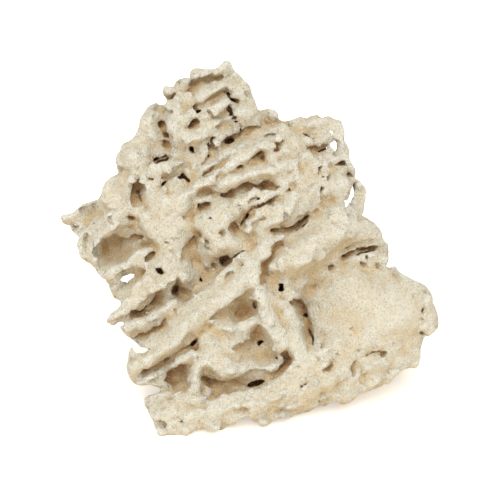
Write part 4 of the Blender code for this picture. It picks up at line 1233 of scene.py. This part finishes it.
# %% The mesh
def surface_mesh(name):
    """The stone's surface as a mesh in the model's own frame, in metres."""
    clipped = np.clip(stone, -BAND, BAND)
    for axis in range(3):
        edge = clipped.swapaxes(0, axis)
        edge[[0, -1]] = BAND
    grid = vdb.FloatGrid()
    grid.background = BAND
    grid.copyFromArray(clipped)
    points, _, quads = grid.convertToPolygons(isovalue=0.0, adaptivity=0.0)
    sheet = np.concatenate([quads[:, [0, 1, 2]], quads[:, [0, 2, 3]]])
    world = (points * VOXEL + LOW) @ np.linalg.inv(TO_BEDS).T + CENTRE
    world[:, 2] = np.maximum(world[:, 2], 0)
    keep = largest_piece(len(world), sheet)
    sheet = sheet[keep[sheet[:, 0]]]
    used = np.zeros(len(world), bool)
    used[sheet] = True
    renumbered = np.cumsum(used) - 1
    mesh = bpy.data.meshes.new(name)
    mesh.from_pydata(world[used], [], renumbered[sheet])
    return mesh


def largest_piece(count, sheet):
    """Marks the points of the largest connected piece, by passing the lowest number along the edges."""
    label = np.arange(count)
    edges = np.concatenate([sheet[:, [0, 1]], sheet[:, [1, 2]]])
    while True:
        lowest = np.minimum(label[edges[:, 0]], label[edges[:, 1]])
        before = label.copy()
        np.minimum.at(label, edges[:, 0], lowest)
        np.minimum.at(label, edges[:, 1], lowest)
        label = label[label]
        if (label == before).all():
            break
    names, sizes = np.unique(label, return_counts=True)
    return label == names[sizes.argmax()]


mesh = surface_mesh("reef rock")
rock = bpy.data.objects.new("reef_rock_surface", mesh)
bpy.context.scene.collection.objects.link(rock)
print("triangles from the grid", len(mesh.polygons))

# %% Thinning the mesh
ONCE_THINNED = 270000
MOST_TRIANGLES = 190000
FACING_FRONT = 0.15


def point_normals(mesh):
    normals = np.empty(len(mesh.vertices) * 3, np.float32)
    mesh.vertices.foreach_get("normal", normals)
    return normals.reshape(-1, 3)


facing_front = point_normals(mesh) @ OUT >= FACING_FRONT
front = rock.vertex_groups.new(name="front")
front.add(np.flatnonzero(facing_front).tolist(), 1.0, "REPLACE")
rounds = [("", len(mesh.polygons), ONCE_THINNED), ("front", ONCE_THINNED, MOST_TRIANGLES)]
for part, before, after in rounds:
    thin = rock.modifiers.new("thin " + part, "DECIMATE")
    thin.ratio = after / before
    thin.vertex_group = part
    thin.vertex_group_factor = 1.0
    thin.use_collapse_triangulate = True


def applied(source):
    """A plain mesh of the object as its modifiers leave it, on the same object."""
    graph = bpy.context.evaluated_depsgraph_get()
    made = bpy.data.meshes.new_from_object(source.evaluated_get(graph))
    source.modifiers.clear()
    source.vertex_groups.clear()
    source.data = made
    return made


mesh = applied(rock)
mesh.shade_smooth()
print("triangles kept", len(mesh.polygons))

# %% [markdown]
# ## Where the stone is hollow
#
# Dust, rust and old algae stain the hollows, and handling rubs the crests white. The hollows' tan is partly that
# stain and partly painted shade, and the brown of the deeper hollows is painted shade. A point's hollowness is how
# much stone lies in a ball around it: half on a flat face, more in a hollow, less on a crest. Blurring the grid
# of stone and air gives that for every point at once. Faces that look down get more of the tan as painted shade,
# so how far each point faces up is stored too.

# %% Hollowness and slope
def read_grid(field, points):
    """The grid's value at each point, in between the grid points."""
    where = ((points - LOW) / VOXEL).clip(0, COUNT - 1.001)
    first = where.astype(int)
    t = (where - first).astype(np.float32)
    total = np.zeros(len(points), np.float32)
    for corner in np.ndindex(2, 2, 2):
        share = np.prod(np.where(corner, t, 1 - t), axis=1)
        i, j, k = (first + corner).T
        total += share * field[i, j, k]
    return total


def mark(mesh, name, values):
    """Stores a number for each of the mesh's points, for the material to read."""
    layer = mesh.attributes.new(name, "FLOAT", "POINT")
    layer.data.foreach_set("value", values.astype(np.float32))


surface = np.empty(len(mesh.vertices) * 3, np.float32)
mesh.vertices.foreach_get("co", surface)
surface = (surface.reshape(-1, 3) - CENTRE) @ TO_BEDS.T
solid_share = np.clip(0.5 - stone / VOXEL, 0, 1)
for name, reach in (("fine_hollow", 2.5), ("wide_hollow", 8)):
    values = read_grid(blurred(solid_share, reach), surface) - 0.5
    mark(mesh, name, values)
    print(name, "from", round(float(values.min()), 2), "to", round(float(values.max()), 2))
mark(mesh, "facing_up", point_normals(mesh)[:, 2])

# %% [markdown]
# ## The limestone
#
# Dry reef limestone is dull: it has no gloss, and light sinks into its grain. Its colour is a warm cream that is
# whiter on the crests, ochre to brown in the hollows, and speckled with grey where dust sits on broad faces. Shade
# is painted in as well: in part the hollows' tan, all of their brown, the tan on faces that look down, and in part
# the grey and white fleck of the grain, whose white is partly painted highlight.
# Every pattern reads the stone's own coordinates or what is stored at its points, so it stays put from all sides.

# %% Node helpers
def new_material(name):
    material = bpy.data.materials.new(name)
    material.use_nodes = True
    return material, material.node_tree, material.node_tree.nodes["Principled BSDF"]


def feed(tree, socket, value):
    """Links a socket to the value where it is a socket too, or else sets it."""
    if isinstance(value, bpy.types.NodeSocket):
        tree.links.new(value, socket)
    elif value is not None:
        socket.default_value = value


def noise(tree, where, scale, detail=4.0, roughness=0.6):
    node = tree.nodes.new("ShaderNodeTexNoise")
    feed(tree, node.inputs["Vector"], where)
    feed(tree, node.inputs["Scale"], scale)
    feed(tree, node.inputs["Detail"], detail)
    feed(tree, node.inputs["Roughness"], roughness)
    return node.outputs["Fac"]


def cells(tree, where, scale):
    node = tree.nodes.new("ShaderNodeTexVoronoi")
    feed(tree, node.inputs["Vector"], where)
    feed(tree, node.inputs["Scale"], scale)
    return node.outputs["Distance"]


def ramped(tree, value, low, high, start=0.0, end=1.0):
    """The value mapped from low..high onto start..end, held at both ends."""
    node = tree.nodes.new("ShaderNodeMapRange")
    node.interpolation_type = "SMOOTHSTEP"
    for name, number in (("From Min", low), ("From Max", high), ("To Min", start), ("To Max", end)):
        node.inputs[name].default_value = number
    feed(tree, node.inputs["Value"], value)
    return node.outputs["Result"]


def times(tree, a, b):
    node = tree.nodes.new("ShaderNodeMath")
    node.operation = "MULTIPLY"
    feed(tree, node.inputs[0], a)
    feed(tree, node.inputs[1], b)
    return node.outputs[0]


def plus(tree, a, b):
    node = tree.nodes.new("ShaderNodeMath")
    node.operation = "ADD"
    feed(tree, node.inputs[0], a)
    feed(tree, node.inputs[1], b)
    return node.outputs[0]


def mixed(tree, share, first, second):
    node = tree.nodes.new("ShaderNodeMix")
    node.data_type = "RGBA"
    feed(tree, node.inputs["Factor"], share)
    feed(tree, node.inputs["A"], first)
    feed(tree, node.inputs["B"], second)
    return node.outputs["Result"]


def stored(tree, name):
    node = tree.nodes.new("ShaderNodeAttribute")
    node.attribute_name = name
    return node.outputs["Fac"]


# %% Limestone colours
def linear(red, green, blue):
    """A colour given in 0 to 255, as the shader wants it."""
    values = [v / 255 for v in (red, green, blue)]
    return tuple(v / 12.92 if v <= 0.04045 else ((v + 0.055) / 1.055) ** 2.4 for v in values) + (1.0,)


CREAM = linear(224, 218, 203)
WARM = linear(219, 208, 186)
CHALK = linear(233, 231, 223)
# Tan is partly stain and partly painted shade, for the hollows and for faces that look down.
TAN_STAIN_AND_SHADE = linear(215, 188, 142)
OCHRE = linear(206, 166, 104)
# Brown and deep brown are painted shade for the deeper hollows.
SHADE_BROWN = linear(184, 130, 68)
DEEP_SHADE_BROWN = linear(120, 70, 28)
DUST_GREY = linear(190, 185, 170)
SPECK = linear(158, 147, 122)
print("cream is", [round(v, 3) for v in CREAM[:3]])


# %% Limestone
def limestone():
    material, tree, shader = new_material("dry limestone")
    where = tree.nodes.new("ShaderNodeTexCoord").outputs["Object"]
    fine, wide = stored(tree, "fine_hollow"), stored(tree, "wide_hollow")
    patches = noise(tree, where, 28.0, 3.0, 0.55)
    grain = noise(tree, where, 800.0, 3.0, 0.8)
    grit = noise(tree, where, 330.0, 2.0, 0.6)
    specks = noise(tree, where, 1100.0, 1.0, 0.5)
    colour = mixed(tree, ramped(tree, patches, 0.35, 0.7), CREAM, WARM)
    colour = mixed(tree, ramped(tree, fine, -0.04, -0.2, 0.0, 0.7), colour, CHALK)
    # Tan over the hollows: partly stain, partly painted shade.
    colour = mixed(tree, ramped(tree, wide, -0.04, 0.16, 0.0, 0.85), colour, TAN_STAIN_AND_SHADE)
    # Faces that look down are painted tan: painted shade under the ledges.
    painted_underside_shade = ramped(tree, stored(tree, "facing_up"), 0.1, -0.6, 0.0, 0.8)
    colour = mixed(tree, painted_underside_shade, colour, TAN_STAIN_AND_SHADE)
    stained = ramped(tree, noise(tree, where, 60.0, 3.0), 0.4, 0.7)
    stain = times(tree, ramped(tree, wide, 0.06, 0.22, 0.0, 0.6), stained)
    colour = mixed(tree, stain, colour, OCHRE)
    # The deeper hollows are painted brown, then deep brown: painted shade.
    colour = mixed(tree, ramped(tree, wide, 0.13, 0.28, 0.0, 0.8), colour, SHADE_BROWN)
    colour = mixed(tree, ramped(tree, wide, 0.27, 0.4, 0.0, 0.85), colour, DEEP_SHADE_BROWN)
    # Grey and white fleck in the grain: random tone, and partly painted fine shade and painted highlight.
    colour = mixed(tree, ramped(tree, grain, 0.52, 0.68, 0.0, 0.7), colour, DUST_GREY)
    colour = mixed(tree, ramped(tree, grain, 0.48, 0.34, 0.0, 0.6), colour, CHALK)
    colour = mixed(tree, ramped(tree, grit, 0.56, 0.72, 0.0, 0.5), colour, DUST_GREY)
    colour = mixed(tree, ramped(tree, specks, 0.62, 0.74, 0.0, 0.8), colour, SPECK)
    feed(tree, shader.inputs["Base Color"], colour)
    shader.inputs["Roughness"].default_value = 0.95
    shader.inputs["Specular IOR Level"].default_value = 0.2
    pores = cells(tree, where, 520.0)
    relief = plus(tree, grain, times(tree, ramped(tree, pores, 0.0, 0.45), 0.3))
    relief = plus(tree, relief, times(tree, grit, 0.8))
    bump = tree.nodes.new("ShaderNodeBump")
    bump.inputs["Distance"].default_value = 0.0028
    bump.inputs["Strength"].default_value = 1.0
    feed(tree, bump.inputs["Height"], relief)
    feed(tree, shader.inputs["Normal"], bump.outputs["Normal"])
    return material


mesh.materials.clear()
mesh.materials.append(limestone())
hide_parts("reef_rock")
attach(rock, "root")
print("the stone wears", mesh.materials[0].name)

# %% [markdown]
# ## Floor, light and camera
#
# The photograph is a plain studio picture: white all round, soft light from high up, and a long lens that looks
# down a little.

# %% Floor
FLOOR_SIZE = 6.0


def plain_floor():
    floor_mesh = bpy.data.meshes.new("floor")
    half = FLOOR_SIZE / 2
    corners = [(-half, -half, 0), (half, -half, 0), (half, half, 0), (-half, half, 0)]
    floor_mesh.from_pydata(corners, [], [(0, 1, 2, 3)])
    floor = bpy.data.objects.new("floor", floor_mesh)
    bpy.context.scene.collection.objects.link(floor)
    material, _, shader = new_material("pale floor")
    shader.inputs["Base Color"].default_value = (0.95, 0.95, 0.95, 1)
    shader.inputs["Roughness"].default_value = 0.9
    shader.inputs["Emission Color"].default_value = (1, 1, 1, 1)
    shader.inputs["Emission Strength"].default_value = 0.35
    floor_mesh.materials.append(material)
    return floor


plain_floor()
print("floor", FLOOR_SIZE, "m wide")

# %% Light
WARM_LIGHT = (1.0, 0.94, 0.82)
PLAIN_LIGHT = (0.98, 1.0, 0.98)
SKY_STRENGTH = 0.85


def soft_sun(name, strength, colour, spread, from_right, from_front, from_above):
    """A far, wide lamp: soft-edged shadows, and the same light all over the floor."""
    data = bpy.data.lights.new(name, "SUN")
    data.energy = strength
    data.color = colour
    data.angle = math.radians(spread)
    lamp = bpy.data.objects.new(name, data)
    lamp.rotation_euler = Vector((from_right, -from_front, from_above)).to_track_quat("Z", "Y").to_euler()
    bpy.context.scene.collection.objects.link(lamp)


soft_sun("overhead", 2.3, PLAIN_LIGHT, spread=60, from_right=-0.05, from_front=0.5, from_above=1.0)
soft_sun("front fill", 1.0, WARM_LIGHT, spread=100, from_right=0.0, from_front=1.0, from_above=0.35)
world = bpy.data.worlds.new("studio")
world.use_nodes = True
world.node_tree.nodes["Background"].inputs["Color"].default_value = WARM_LIGHT + (1,)
world.node_tree.nodes["Background"].inputs["Strength"].default_value = SKY_STRENGTH
bpy.context.scene.world = world
bpy.context.scene.view_settings.view_transform = "Standard"
print("two lamps and a sky of", SKY_STRENGTH)

# %% Camera
FILM_WIDTH = 36
camera_data = bpy.data.cameras.new("camera")
camera_data.sensor_width = FILM_WIDTH
camera_data.lens = FILM_WIDTH * EYE_DISTANCE / (SKETCH_SIZE * UNIT)
camera = bpy.data.objects.new("camera", camera_data)
camera.location = Vector(CENTRE + OUT * EYE_DISTANCE)
camera.rotation_euler = Vector(-OUT).to_track_quat("-Z", "Y").to_euler()
bpy.context.scene.collection.objects.link(camera)
bpy.context.scene.camera = camera
print("lens", round(camera_data.lens), "mm")
